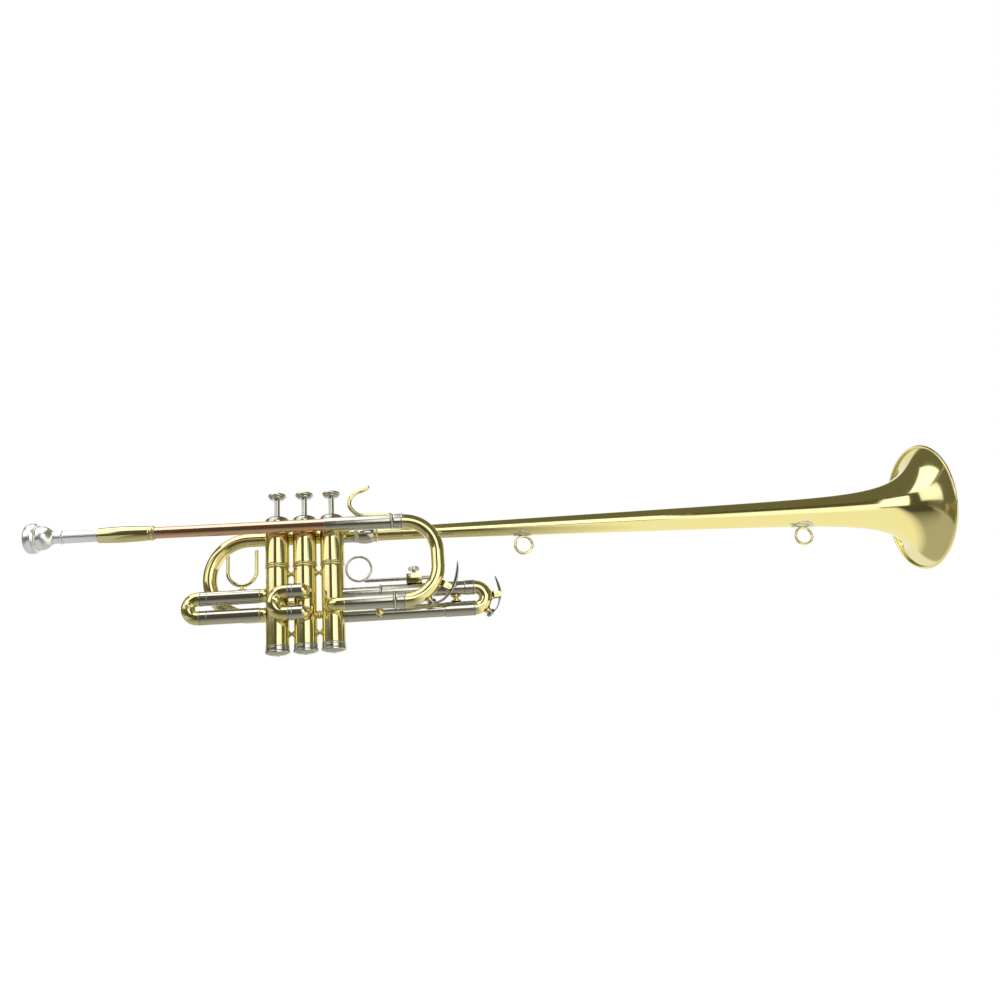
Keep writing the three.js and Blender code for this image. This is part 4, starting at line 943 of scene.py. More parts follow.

# %% [markdown]
# The lever is a bent blade, widest in the middle, that ends in a cup over the cork and turns on a
# hub. Its nickel is painted darker than that of the tubes, as painted shade. A blade swept as rounded
# rings gives its soft edges at once, where a bevelled box would need bending afterwards.

# %% Lever
BLADE_WIDTHS = [4.2, 5.2, 6.0, 6.2, 5.6, 4.8, 3.4]


def key_lever(name, body, skin, base, along, spots, thick, pin, node):
    """The blade through its spots, with its cup and its hub round the pin."""
    y = base[1]
    strip = blade([tuple(spot) for spot in spots], BLADE_WIDTHS, thick, y)
    crown = through([(4.45, skin + 4.4), (4.25, skin + 5.3), (3.5, skin + 6.1), (2.2, skin + 6.6)])
    cup = [(0, skin + 4.8), (3.95, skin + 4.8), (3.95, skin + 3.1), (4.45, skin + 3.1, 0.2), *crown, (0, skin + 6.8)]
    hub = [(0, y - 3), (2.1, y - 3), (2.1, y + 3), (0, y + 3)]
    forms = [strip, turned(cup, base, along, 48), turned(hub, (pin.x, 0, pin.y), BACK, 40)]
    # The blade, its cup and its hub get the darker nickel, which is painted shade.
    piece(f"{name}_blade", body, NICKEL_WITH_PAINTED_SHADE, forms, [node])


print("key parts: lever")

# %% [markdown]
# The saddle stands on the bow: a bent plate with two ears, and a pin with a slotted head through
# them. The ears are flat plates whose outline follows the pin in a half circle. The coil spring sits
# on the pin between ear and lever, and presses the cork down.

# %% Saddle and spring
EAR, EAR_FOOT = 2.6, 3.1


def key_saddle(name, body, centre, skin, y, degrees, pin, node):
    """Two ears on a bent plate, and the pin through them."""
    ahead = around((0, 0), degrees, 1)
    aside = Vector((-ahead.y, ahead.x))
    root = around(centre, degrees, skin - 0.6)
    neck = ahead * (pin - root).length * 0.6
    turns = [math.pi * (0.5 - k / 12) for k in range(13)]
    ear = [root + aside * EAR_FOOT, root + aside * EAR + neck,
           *(pin + aside * (EAR * math.sin(a)) + ahead * (EAR * math.cos(a)) for a in turns),
           root - aside * EAR + neck, root - aside * EAR_FOOT]
    ears = [slab([tuple(spot) for spot in ear], y + near, y + far) for near, far in ((-4.5, -3.3), (3.3, 4.5))]
    shares = [k / 4 for k in range(-4, 5)]
    spread = math.degrees(4.6 / skin)
    plate = [around(centre, degrees + share * spread, skin + 0.9 - 0.5 * share**4) for share in shares]
    plate += [around(centre, degrees + share * spread, skin - 0.5) for share in reversed(shares)]
    bed = slab([tuple(spot) for spot in plate], y - 4.5, y + 4.5, 0.2)
    bolt = [(0, y - 5.3), (1.5, y - 5.2, 0.4), (1.7, y - 4.5), (0.9, y - 4.4), (0.9, y + 4.5), (1.5, y + 4.6),
            (1.5, y + 5.2, 0.3), (0, y + 5.25)]
    head = turned(bolt, (pin.x, 0, pin.y), BACK, 32)
    piece(f"{name}_saddle", body, BRASS, [*ears, bed, head], [node])


def key_spring(name, body, y, pin, node):
    """The coil round the pin."""
    spring = wound(radius=2.6, wire_radius=0.28, turns=3, height=2.4)
    spring.transform(Matrix.Rotation(math.radians(90), 4, "X"))
    piece(f"{name}_coil", body, STEEL, [moved(spring, (pin.x, y + 1.2, pin.y))], [node])


print("key parts: saddle, spring")

# %% [markdown]
# One function puts a whole key on its bow. It takes the bend's centre and radius, the nozzle's angle,
# the pin's angle and distance, and the line and the thickness of the blade. The nozzle, the saddle
# and the spring ride with the slide, and the lever and its cork with the key's own joint.

# %% A whole water key
def water_key(name, slide_body, key_body, centre, y, bend, nozzle, pivot, line, thick, prefix):
    """All pieces of one water key."""
    skin = bend + BOW
    out = around((0, 0), nozzle, 1)
    along = (out.x, 0, out.y)
    base = (centre[0], y, centre[1])
    pin = around(centre, *pivot)
    spots = [around(centre, nozzle, skin + 5.7), *(around(centre, *spot) for spot in line)]
    key_nozzle(name, slide_body, skin, base, along)
    key_pad(name, key_body, skin, base, along, f"{prefix}_key_cork")
    key_lever(name, key_body, skin, base, along, spots, thick, pin, f"{prefix}_key_lever")
    key_saddle(name, slide_body, centre, skin, y, pivot[0], pin, f"{prefix}_key_saddle")
    key_spring(name, slide_body, y, pin, f"{prefix}_key_spring")


water_key("main_key", "tuning_slide", "tuning_key", (92, 8.1), -SIDE, 30.8, -56, (-28, 44.9),
          [(-44, 46.6), (-31, 48.0), (-19, 48.4), (-7, 48.4), (2.8, 48.8)],
          [1.5, 1.9, 2.6, 3.3, 3.2, 2.3, 0.8], "tuning")
tell_pieces()

# %% [markdown]
# ## Finger hook
# The hook for the right little finger is a brass rod on the upper sleeve. It is bent by hand, so it
# follows measured places rather than arcs, and a smooth curve through them keeps its swing.

# %% Finger hook
HOOK_ROD = 1.9
hook_line = [(80.4, -0.1), (70, 0), (60, 0.1), (53.5, 0.6), (50.2, 2.0), (46.9, 5), (44.1, 9), (43.4, 13.2),
             (44.7, 17.4), (47.7, 21.1), (52.2, 23.6), (57, 25.2), (60.9, 27.5)]
hook_path = spline([(x, -SIDE, LEAD + SLEEVE + rise) for x, rise in hook_line], 8)
hook_points, hook_sizes = round_tips(hook_path, HOOK_ROD)
piece("hook_rod", "instrument", BRASS,
      [tube_along(hook_points, HOOK_ROD, hook_sizes, sides=32)], ["finger_hook"])
tell_pieces()

# %% [markdown]
# ## Valve block
# Three casings stand side by side. Each is one turned tube: thin below, a little thicker above, with
# two fine beads at the joint. The same outline is turned round the three upright axes.

# %% Casings
PITCH, BORE = 25.2, 8.9
AXES = {number: ((number - 2) * PITCH, 0, 0) for number in (1, 2, 3)}
casing_outline = [
    (BORE, -59.6), (9.9, -59.6), (9.9, -54.3), (10.7, -54.3), (10.7, 15.6), (10.35, 15.9), (10.35, 16.3),
    *bead(11.75, 16.4, 18.5, 10.8), (10.7, 18.6), *bead(11.45, 18.7, 19.9, 10.9), (10.85, 20.0), (10.85, 20.4),
    (11.2, 20.7), (11.2, 56), (10.4, 56), (10.4, 62.4), (BORE, 62.4),
]
for number, axis in AXES.items():
    piece(f"casing_tube_{number}", "instrument", BRASS,
          [turned(casing_outline, axis, UP, 96, 0.12)], [f"casing_{number}"])
tell_pieces()

# %% [markdown]
# Waisted studs and wide tubes tie the casings together. They repeat between the first and second
# casing and the second and third, so a row of two copies is made, and only the second wide tube
# stands alone.

# %% Studs and joint tubes between the casings
stud_waist = [(3.55, 10.6), (3.0, 11.2), (2.1, 11.8), (1.6, 12.6), (2.1, 13.4), (3.0, 14.0), (3.55, 14.6)]
stud_outline = [(0, 9.9), (3.6, 9.9), *through(stud_waist), (3.6, 15.3), (0, 15.3)]
joint_waist = [(3.4, 9.5), (3.1, 10.7), (3.7, 11.5), (4.1, 12.6), (3.7, 13.7), (3.1, 14.5), (3.4, 15.7)]
joint_outline = [(0, 9.5), *through(joint_waist), (0, 15.7)]
shift = (-PITCH, 0, 0)
studs = [moved(turned(stud_outline, (0, 0, height), sides=40), shift) for height in (10.8, -44.8)]
low_joint, high_joint = (
    moved(turned(joint_outline, (0, 0, height), sides=56), shift) for height in (-28.4, -18.2))
piece("block_studs", "instrument", BRASS, [in_a_row([*studs, low_joint], 2, PITCH), high_joint])
tell_pieces()

# %% [markdown]
# ## Caps
# The caps are turned from nickel. A top cap is a low dome with a band that the fingers grip, and its
# hole guides the stem. A bottom cap has a lens-shaped floor with a small vent. The band's groove is
# cut into the outline, where the marks darken it.

# %% Outlines of the caps
dome = [(11.3, 61.3), (11.0, 62.5), (10.1, 63.8), (8.6, 64.9), (6.9, 65.6)]
top_cap_outline = [
    (10.7, 56.3), (12, 56.3, 0.3), (12, 57.6), (11.75, 57.8), (11.75, 58.3), (12, 58.5), (12, 60.4, 0.4),
    (11.4, 60.9), *through(dome), (5.4, 65.8), (5.2, 66.3, 0.3), (3.4, 66.3, 0.3), (3.1, 66.0), (3.1, 63.4),
    (10.7, 63.4),
]
lens_floor = [(11.1, -61.7), (9.0, -62.6), (6.0, -63.5), (2.4, -63.9)]
bottom_cap_outline = [
    (10.2, -54.6), (10.9, -54.6), (10.9, -55.5), (10.7, -55.7), (10.7, -56.0), (10.9, -56.2), (10.9, -59.6),
    (11.5, -60.0, 0.3), (11.5, -61.2, 0.4), *through(lens_floor), (1.2, -63.6, 0.2), (1.2, -60.2),
    (10.2, -60.2),
]


def make_caps(number, axis):
    """The top and bottom cap of one valve."""
    piece(f"cap_upper_{number}", "instrument", NICKEL,
          [turned(top_cap_outline, axis, UP, 96)], [f"top_cap_{number}"])
    piece(f"cap_lower_{number}", "instrument", NICKEL,
          [turned(bottom_cap_outline, axis, UP, 96)], [f"bottom_cap_{number}"])


print("radius of the caps:", max(spot[0] for spot in top_cap_outline), max(spot[0] for spot in bottom_cap_outline))

# %% [markdown]
# ## Stems, buttons and springs
# A button is a two-step lens on a thin stem, with a shallow seat turned in its top for the finger.
# Both move with the valve. The spring stays on its guide in the casing: it stands at a height of
# 24.5 mm and is 33.7 mm tall. It is made at that length only, though the stroke shortens it by 17 mm.

# %% Caps, stems, buttons and springs in place
stem_outline = [
    (0, 59.3), (1.9, 59.3), (1.9, 61.3), (4.6, 61.3, 0.3), (4.6, 62.7, 0.3), (2.5, 62.7), (2.5, 82.7), (1.9, 82.7),
    (1.9, 86.1), (0, 86.1),
]
button_outline = [
    (2.0, 83.0), (3.4, 83.0), *through([(5.6, 83.1), (6.6, 83.6), (6.95, 84.3)]), (6.95, 84.9), (7.3, 85.15),
    *through([(7.9, 85.25), (8.45, 85.8), (8.6, 86.5), (8.45, 87.2), (7.9, 87.8), (6.9, 88.2)]),
    (5.9, 88.55, 0.3), (5.5, 88.35, 0.2), (5.3, 88.15, 0.2), (3.5, 88.55, 2), (0, 88.75), (0, 86.5), (2.0, 86.5),
]
for number, axis in AXES.items():
    make_caps(number, axis)
    body = f"valve_{number}"
    piece(f"stem_rod_{number}", body, NICKEL, [turned(stem_outline, axis, UP, 48)], [f"stem_{number}"])
    piece(f"button_disc_{number}", body, NICKEL, [turned(button_outline, axis, UP, 72)], [f"button_{number}"])
    spring = moved(wound(radius=6.2, wire_radius=0.45, turns=6.5, height=33.7), (axis[0], 0, 24.5))
    coil = piece(f"valve_coil_{number}", "instrument", STEEL, [spring], [f"spring_{number}"])
    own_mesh(coil)
tell_pieces()

# %% [markdown]
# ## First valve slide
# The first valve's slide points back to the player, and its crook carries a small knob to pull on. A
# short brass stub joins each sleeve to the casing. The crook is one path with two round bends, and
# the same function makes the crooks of the other two slides.

# %% First valve slide
FIRST = {"upper": -8.0, "lower": -25.3}
stub_outline = [(LEG_BORE, -41.2), (6.7, -41.2), (6.7, -40.7), (6.15, -40.5),
                *through([(6.1, -38), (6.3, -36.6), (7.3, -34.7)]), (LEG_BORE, -34.7)]
first_sleeve = [(LEG_BORE, -41), (SLEEVE, -41), (SLEEVE, -87.5), (SLEEVE_BORE, -87.5), (SLEEVE_BORE, -41.6),
                (LEG_BORE, -41.6)]
for label, height in FIRST.items():
    piece(f"first_sleeve_{label}", "instrument", NICKEL,
          [turned(first_sleeve, (0, 0, height))], [f"first_{label}_sleeve"])
    piece(f"first_stub_{label}", "instrument", BRASS, [turned(stub_outline, (0, 0, height))])
    piece(f"first_leg_{label}", "first_valve_slide", NICKEL,
          [turned(leg(-45, -87.8, -95, THIN_FERRULE), (0, 0, height))])


def crook(start, bow_start, y, upper, lower):
    """Path of a short slide's bow, and the place of its crown."""
    bend = (upper - lower) / 2
    far = bow_start + math.copysign(bend, bow_start - start)
    corners = [(start, y, upper), (far, y, upper), (far, y, lower), (start, y, lower)]
    return route(corners, [bend, bend], 28), Vector((far, y, (upper + lower) / 2))


def pull_knob(crown, way):
    """A small waisted knob on the crown of a crook."""
    waist = through([(2.7, 5.8), (1.9, 6.6), (1.45, 7.4), (1.5, 8.4), (2.2, 9.0)])
    outline = [(0, 5.6), *waist, (2.9, 9.2, 0.3), (3.0, 10.2, 0.4), (1.9, 10.8, 0.6), (0, 10.9)]
    return turned(outline, crown, way, 40)


bow_path, crown = crook(-91, -96.4, 0, FIRST["upper"], FIRST["lower"])
piece("first_bow", "first_valve_slide", BRASS,
      [tube_along(bow_path, BOW), pull_knob(crown, (0.18, -0.92, 0.34))], ["first_slide"])
tell_pieces()

# %% [markdown]
# ## Thumb saddle
# On the first slide's upper sleeve stands an open wire loop for the left thumb. Its wire is bent in
# two arcs and ends in balls, and a short turned post joins it to an oval foot on the sleeve.

# %% Thumb saddle
THUMB_X, THUMB_WIRE = -57.1, 1.7
saddle_path = route([(-70.1, 0, 30), (-70.1, 0, 2.6), (-44.1, 0, 2.6), (-44.1, 0, 34)], [13, 13])
saddle_points, saddle_sizes = round_tips(saddle_path, THUMB_WIRE)
post = [(0, -2.6), *through([(2.5, -1.4), (1.9, -0.7), (1.6, 0.4), (1.5, 2.2)]), (0, 2.4)]
piece("thumb_loop", "instrument", BRASS, [
    tube_along(saddle_points, THUMB_WIRE, saddle_sizes, sides=32),
    patch(oval(32, (THUMB_X, 0), 3.8, 2.6), lambda x: SLEEVE, 0, FIRST["upper"], math.pi / 2, 0.7),
    turned(post, (THUMB_X, 0, 0), UP, 40),
], ["thumb_saddle"])
tell_pieces()

# %% [markdown]
# ## Second valve slide
# The second valve's slide stands in front of the casings, so its tubes turn through tight cast elbows
# into the middle one. An elbow is too tight for a bent tube: it is a ball on a flared foot, turned in
# one, with a collar to the side. The crook is short and wide.

# %% Second valve slide
SECOND = {"upper": -8.5, "lower": -28.3}
second_sleeve = [(SLEEVE_BORE, -9.1), (SLEEVE, -9.1), (SLEEVE, 0), (0, 0), (0, -0.7), (SLEEVE_BORE, -0.7)]
ball = [(0, -6.4), *through([(0.02, -6.4), (2.45, -5.91), (4.53, -4.53), (5.91, -2.45), (6.4, 0)]), (6.4, 5.6),
        *through([(6.4, 6.2), (6.8, 7.3), (7.8, 8.9)]), (0, 9)]
collar = [(0, -0.9), (6.4, -0.8), (6.3, 0.3), (0, 0.4)]
for label, height in SECOND.items():
    place = (0, -SIDE, height)
    piece(f"second_sleeve_{label}", "instrument", NICKEL, [turned(second_sleeve, place)], [f"second_{label}_sleeve"])
    piece(f"second_elbow_{label}", "instrument", BRASS,
          [turned(ball, (-0.9, -SIDE, height), BACK), turned(collar, place)])
    piece(f"second_leg_{label}", "second_valve_slide", NICKEL,
          [turned(leg(-1.0, -9.4, -13.9, THIN_FERRULE), place)])
bow_path, crown = crook(-9.7, -16.5, -SIDE, SECOND["upper"], SECOND["lower"])
piece("second_bow", "second_valve_slide", BRASS,
      [tube_along(bow_path, BOW), pull_knob(crown + Vector((1.2, 0, 0)), (0.25, -0.95, 0.2))], ["second_slide"])
tell_pieces()

# %% [markdown]
# ## Third valve slide
# The third slide is long, and is pushed out while playing. Two tubes stay on the trumpet: a plain one
# above, over which the slide runs, and a sleeve below. A waisted brace ties the lower sleeve to the
# tuning slide's sleeve, and is turned along the line between the two.

# %% Fixed tubes of the third slide
UP3, LOW3 = -10.9, -30.5
piece("third_fixed_tube", "instrument", NICKEL,
      [turned([(LEG_BORE, 34.6), (LEG, 34.6), (LEG, 128), (LEG_BORE, 128)], (0, 0, UP3))], ["third_inner_tube"])
third_sleeve = [(LEG_BORE, 34.6), (SLEEVE, 34.6), (SLEEVE, 127), (SLEEVE_BORE, 127), (SLEEVE_BORE, 60),
                (LEG_BORE, 60)]
brace_ends = (Vector((67.3, -14, -27.3)), Vector((67.3, -5.7, -32.9)))
brace_way = brace_ends[1] - brace_ends[0]
brace_middle = (brace_ends[0] + brace_ends[1]) / 2
half = brace_way.length / 2
belly = [(1.8, -3.1), (3.0, -2.4), (3.8, -1.3), (4.1, 0), (3.8, 1.3), (3.0, 2.4), (1.8, 3.1)]
brace_outline = [(0, -half), *through([(2.6, -half), (1.8, -half + 0.8), (1.6, -half + 1.6)]), *through(belly),
                 *through([(1.6, half - 1.6), (1.8, half - 0.8), (2.6, half)]), (0, half)]
piece("third_low_sleeve", "instrument", NICKEL, [turned(third_sleeve, (0, 0, LOW3))], ["third_lower_sleeve"])
piece("sleeve_brace", "instrument", BRASS, [turned(brace_outline, brace_middle, brace_way, 40)])
tell_pieces()

# %% [markdown]
# The sliding part is an outer tube above and a leg below, joined by the bow and by a waisted spool.
# It carries the second water key, made by the same function as the first.

# %% Sliding tubes of the third slide
outer_tube = [
    (SLEEVE_BORE, 67.9), (SLEEVE, 67.9), *bead(BEAD, 68.05, 69.9, SLEEVE), (SLEEVE, 70), (SLEEVE, 146.8),
    (7.0, 146.8), (7.0, 155.1), (7.12, 155.1), (7.12, 156), (6.45, 156), (6.45, 151.4), (SLEEVE_BORE, 151.4),
]
piece("third_sliding_tube", "third_slide", NICKEL, [turned(outer_tube, (0, 0, UP3))], ["third_outer_tube"])
piece("third_leg", "third_slide", NICKEL, [turned(leg(64, 127.3, 156), (0, 0, LOW3))], ["third_lower_leg"])
bow_path, _ = crook(151.8, 156, 0, UP3, LOW3)
piece("third_bow_tube", "third_slide", BRASS, [tube_along(bow_path, BOW)], ["third_bow"])
spool_waist = [(4.8, -22.6), (4.0, -21.9), (2.7, -21.3), (2.3, -20.7), (2.7, -20.1), (4.0, -19.4), (4.8, -18.7)]
spool_outline = [(0, -23.6), (4.8, -23.5, 0.3), *through(spool_waist), (4.8, -17.8, 0.3), (0, -17.4)]
piece("slide_spool", "third_slide", BRASS, [turned(spool_outline, (138.2, 0, 0), UP, 40)])
water_key("third_key", "third_slide", "third_key", (156, -20.7), 0, 9.8, -48, (4, 22.2),
          [(-28, 22.6), (-10, 23.0), (6, 23.8), (23, 24.8), (43.5, 27.7)],
          [1.3, 1.3, 1.5, 2.2, 2.8, 2.3, 0.8], "third")
tell_pieces()

# %% [markdown]
# ## Finger ring
# A ring for the left ring finger stands on a rod, which a thumbscrew holds in a block on the sliding
# tube. The ring is a closed wire, the rod is turned, and the block is a plate with rounded edges. The
# thumbscrew's head has ribs, made by their tree, so that it can be turned by hand.

# %% Finger ring, rod, block and thumbscrew
RING_X, RING_Y, ROD_Z = 49.5, -3, 0.15
RING, RING_WIRE = 11.5, 1.1
SCREW_X = 100.2
ring_path = [(x, RING_Y, z) for x, z in oval(72, (RING_X, ROD_Z + RING), RING)]
rod_outline = [(0, 53.5), *through([(0.5, 53.6), (1.3, 54.6), (1.75, 56.5)]), (1.75, 114.2), (1.2, 115), (0, 115)]
piece("ring_wire", "ring_and_rod", NICKEL, [
    tube_along(ring_path, RING_WIRE, closed=True, sides=24),
    turned(rod_outline, (0, RING_Y, ROD_Z), sides=32),
], ["finger_ring"])
block_outline = [(-7.0, -1.4), (-7.25, 1.4), (-7.0, 4.0), (-6.4, 4.3), (1.2, 4.3), (1.2, -4.6), (-5.6, -4.6)]
block = slab(block_outline, 93, 107.6, 0.5)
block.corners = [Vector((spot.y, spot.x, spot.z)) for spot in block.corners]
piece("rod_block", "third_slide", BRASS, [block])
plug = [(0, -7.3), (0.75, -7.3), (0.75, -6.6), (0, -6.6)]
piece("block_pin_hole", "third_slide", "monel", [turned(plug, (95.6, 0, 2.2), BACK, 24)])
screw_outline = [(0, 2.05), (1.5, 2.05), (1.5, 6.9, 0.4), (4.6, 7.0, 0.2), (4.9, 7.4), (4.9, 10.3), (4.5, 10.9, 0.5),
                 (2.6, 11.1, 1), (0, 11.15)]
screw_ribs = moved(ribs(count=30, radius=4.86, height=2.7, rib_radius=0.3), (SCREW_X, RING_Y, 8.85))
piece("thumbscrew_head", "clamp_screw", NICKEL,
      [turned(screw_outline, (SCREW_X, RING_Y, 0), UP, 48), screw_ribs], ["thumb_screw"])
tell_pieces()

# %% [markdown]
# ## The bell
# The bell's radius follows a rule: a slow cone for most of its length, and a flare that grows like a
# horn's curve near the rim. It could be a turned outline with many points, but as a rule the cone and
# the flare can be changed by a few lengths, and the banner rings can ask how wide it is below them.

# %% The bell's rule in numbers
BELL_AXIS = (0, SIDE, BELL)
CONE_SLOPE, FLARE_POWER = 0.0175, 0.6
BELL_LENGTHS = {
    "Start": 56, "Stop": 621.2, "End": 622, "Tube": 6.6, "Cone start": 110, "Rim": 63.5, "Flare length": 48,
    "Flare knee": 15, "Wall": 0.8,
}


def bell_radius(x):
    """The bell's outer radius at a place along X, in millimetres."""
    start, end, tube_radius, cone_start, rim_radius, fall, knee = (
        BELL_LENGTHS[name] for name in ("Start", "End", "Tube", "Cone start", "Rim", "Flare length", "Flare knee"))
    cone_radius = tube_radius + max(0, x - cone_start) * CONE_SLOPE
    flare_at_rim = rim_radius - tube_radius - (end - cone_start) * CONE_SLOPE
    rise = (knee / (end - x + knee)) ** FLARE_POWER * math.exp(-(end - x) / fall)
    return cone_radius + flare_at_rim * rise


print("bell radius at 200 and 600 mm:", round(bell_radius(200), 2), round(bell_radius(600), 2))

# %% [markdown]
# The tree lays a grid along that rule and spins it round the axis. One half of the grid is the
# outside. The other half comes back inside, set in by the wall across the slope of the sheet.

# %% The bell's rule as a node tree
bell_group, bell_tree, given, end_tree = new_tree("bell along its rule", {
    **dict.fromkeys([*BELL_LENGTHS, "Cone slope", "Flare power"], FLOAT),
    "Stations": COUNT, "Sides": COUNT, "Finish": FINISH})
grid = bell_tree.node(
    "GeometryNodeMeshGrid", Size_X=1, Size_Y=1, Vertices_X=given["Stations"], Vertices_Y=given["Sides"])
u, v, _ = bell_tree.parts(bell_tree.node("GeometryNodeInputPosition"))
inner = u.math("GREATER_THAN", 0)
share = 1 - u.math("ABSOLUTE") * 2
along = given["Stop"] - (given["Stop"] - given["Start"]) * (1 - share) ** 2.2
cone = given["Tube"] + (along - given["Cone start"]).math("MAXIMUM", 0) * given["Cone slope"]
cone_rim = given["Tube"] + (given["End"] - given["Cone start"]) * given["Cone slope"]
inset = given["End"] - along
knee = given["Flare knee"] / (inset + given["Flare knee"])
fade = (0 - inset / given["Flare length"]).math("EXPONENT")
flare = (given["Rim"] - cone_rim) * knee ** given["Flare power"] * fade
steep = given["Flare power"] / (inset + given["Flare knee"]) + 1 / given["Flare length"]
slope = given["Cone slope"] + flare * steep
length = (1 + slope * slope).math("SQRT")
thick = given["Wall"] * inner * (share * 60).math("MINIMUM", 1)
radius = cone + flare - thick / length
angle = v * (2 * math.pi)
point = bell_tree.node(
    "ShaderNodeCombineXYZ", X=along + thick * slope / length, Y=radius * angle.math("COSINE"),
    Z=radius * angle.math("SINE"))
sheet = bell_tree.node("GeometryNodeSetPosition", Geometry=grid, Position=point)
end_tree(bell_tree.node("GeometryNodeMergeByDistance", Geometry=sheet, Distance=0.005 * MM))
print("tree:", bell_group.name, "with", len(bell_group.nodes), "nodes")

# %% [markdown]
# The rim is rolled over a wire, which gives it a round edge and keeps it true. Behind the bell, the
# bow leads from the first casing round to the straight run, and a nickel ferrule joins the two.

# %% Bell, rim wire, bow and ferrule
RIM_WIRE, RIM_WIRE_X, RIM_WIRE_AT = 1.3, 620.6, 62.2
bell_values = {name: value * MM for name, value in BELL_LENGTHS.items()}
bell_values |= {"Cone slope": CONE_SLOPE, "Flare power": FLARE_POWER, "Stations": 201, "Sides": 161}
sheet_mesh = moved(run_tree(bell_group, bpy.data.meshes.new("empty"), bell_values), BELL_AXIS)
rim_path = [(RIM_WIRE_X, y, z) for y, z in oval(180, (SIDE, BELL), RIM_WIRE_AT)]
piece("bell_sheet", "instrument", BRASS, [sheet_mesh, tube_along(rim_path, RIM_WIRE, closed=True, sides=24)],
      ["bell_tail", "bell_flare"])
bow_corners = [(-25.2, 9.4, -23), (-25.2, SIDE, -23), (-90.2, SIDE, -23), (-90.2, SIDE, BELL), (55.6, SIDE, BELL)]
piece("bell_bow_tube", "instrument", BRASS,
      [tube_along(route(bow_corners, [7, 36.45, 36.45], 36), BELL_LENGTHS["Tube"], sides=64)], ["bell_bow"])
bulge = [(7.5, 47.6), (8.3, 50), (8.8, 53.4), (8.8, 57.2), (8.3, 60.6), (7.5, 63.0)]
ferrule_outline = [(6.62, 28.2), (6.95, 28.2, 0.2), (6.95, 44.8), (7.5, 45, 0.3), (7.5, 46.4), (7.2, 46.8),
                   *through(bulge), (7.2, 63.6), (7.4, 64.0), (7.4, 65.0), (6.62, 65.0)]
piece("bell_socket", "instrument", NICKEL, [turned(ferrule_outline, BELL_AXIS)], ["bell_ferrule"])
socket_ring = [(6.6, 64.8), (6.95, 64.8), *bead(7.7, 64.9, 67.3, 6.95), (6.6, 67.4)]
piece("bell_socket_ring", "instrument", BRASS, [turned(socket_ring, BELL_AXIS)])
tell_pieces()

# %% [markdown]
# ## Brace
# A brace ties the upper sleeve to the bell bow, with a bead in its middle and a diamond foot on each
# tube. The feet are cut from sheet and bent, so they are wrapped patches. The rod between is turned.

# %% Brace between the upper sleeve and the bell
TIE_X = 40


def lozenge(long, short, count=40):
    """Outline of a diamond with softened points, as [x, distance round] pairs."""
    spots = []
    for c, s in oval(count, (0, 0), 1):
        reach = 1 / (abs(c) ** 1.25 + abs(s) ** 1.25) ** 0.8
        spots.append((TIE_X + long * c * reach, short * s * reach))
    return spots


middle = (LEAD + BELL) / 2
brace = [(0, -12), *through([(2.8, -12), (2.3, -10.6), (2.0, -8), (1.9, -4)]), (1.9, -1.6),
         *through([(2.0, -1.6), (2.9, -1.1), (3.3, 0), (2.9, 1.1), (2.0, 1.6)]), (1.9, 1.6),
         *through([(1.9, 4), (2.0, 8), (2.3, 10.6), (2.8, 12)]), (0, 12.2)]
piece("bell_tie", "instrument", BRASS, [
    turned(brace, (TIE_X, 0, middle), BACK, 40),
    patch(lozenge(8.5, 4.8), lambda x: SLEEVE, -SIDE, LEAD, 0, 0.9),
    patch(lozenge(8.5, 4.8), lambda x: 6.9, SIDE, BELL, math.pi, 0.9),
], ["bell_brace"])
tell_pieces()

# %% [markdown]
# ## Banner rings
# Two closed rings hang below the bell, each soldered to a half-moon plate that is bent round the
# tube. The plates are nickel, and the rings are brass wire. The plate's outline is wrapped round the
# bell with the bell's own rule, because the tube widens under it.

# %% Banner rings
BANNER_RING, BANNER_WIRE = 8.4, 1.35
for number, (x, long, wide) in enumerate(((208.2, 9.4, 7.2), (492, 11.2, 9.8)), 1):
    plate = patch(oval(48, (x, 0), long, wide), bell_radius, SIDE, BELL, -math.pi / 2, 0.7)
    piece(f"banner_plate_{number}", "instrument", NICKEL, [plate], [f"flag_ring_{number}"])
    low = BELL - bell_radius(x) - 0.8 - 9.07
    loop = [(ring_x, SIDE, ring_z) for ring_x, ring_z in oval(64, (x, low), BANNER_RING)]
    piece(f"banner_ring_{number}", "instrument", BRASS, [tube_along(loop, BANNER_WIRE, closed=True, sides=24)])
tell_pieces()

# %% [markdown]
# ## What stays from the CAD
# The pistons are hidden in their casings. Their CAD solids are right as they are, so they only get
# the grey of the nickel alloy that pistons are made of.

# %% Finishes of the nodes that stay
replaced = {node for obj in scene.objects for node in obj.get("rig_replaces", [])}
slots = {entry["node"]: entry["material_slot"] for entry in frame["record"]["subparts"]}
kept = sorted(set(frame["nodes"]) - replaced)
for name in kept:
    node = frame["nodes"][name]
    node.data.materials.clear()
    node.data.materials.append(finishes[slots[name]])
print("kept from the CAD:", ", ".join(kept))
print("pieces:", len(made), "faces:", sum(made.values()))

# %% [markdown]
# ## Studio
# Polished metal only shows what stands around it. Soft boxes stand in front, left and right of a dark
# gap, with a lower one far to the right, a long one overhead on the left and a small pale one below
# it. They could be lamps, but glowing panels keep their shape in a reflection, and can be seen by
# metal alone.

# %% Glowing panels
WHITE, WARM = (1, 1, 1), (1, 1, 0.97)


def glow_material(name, colour, strength_at):
    """A glow whose strength is a sum on the panel's own X and Y."""
    material, tree, _ = new_material(name)
    tree.group.nodes.clear()
    x, y, _ = tree.parts(tree.node("ShaderNodeTexCoord", output=3))
    light = tree.node("ShaderNodeEmission", Color=(*colour, 1), Strength=strength_at(x, y))
    tree.feed(tree.group.nodes.new("ShaderNodeOutputMaterial").inputs[0], light)
    return material


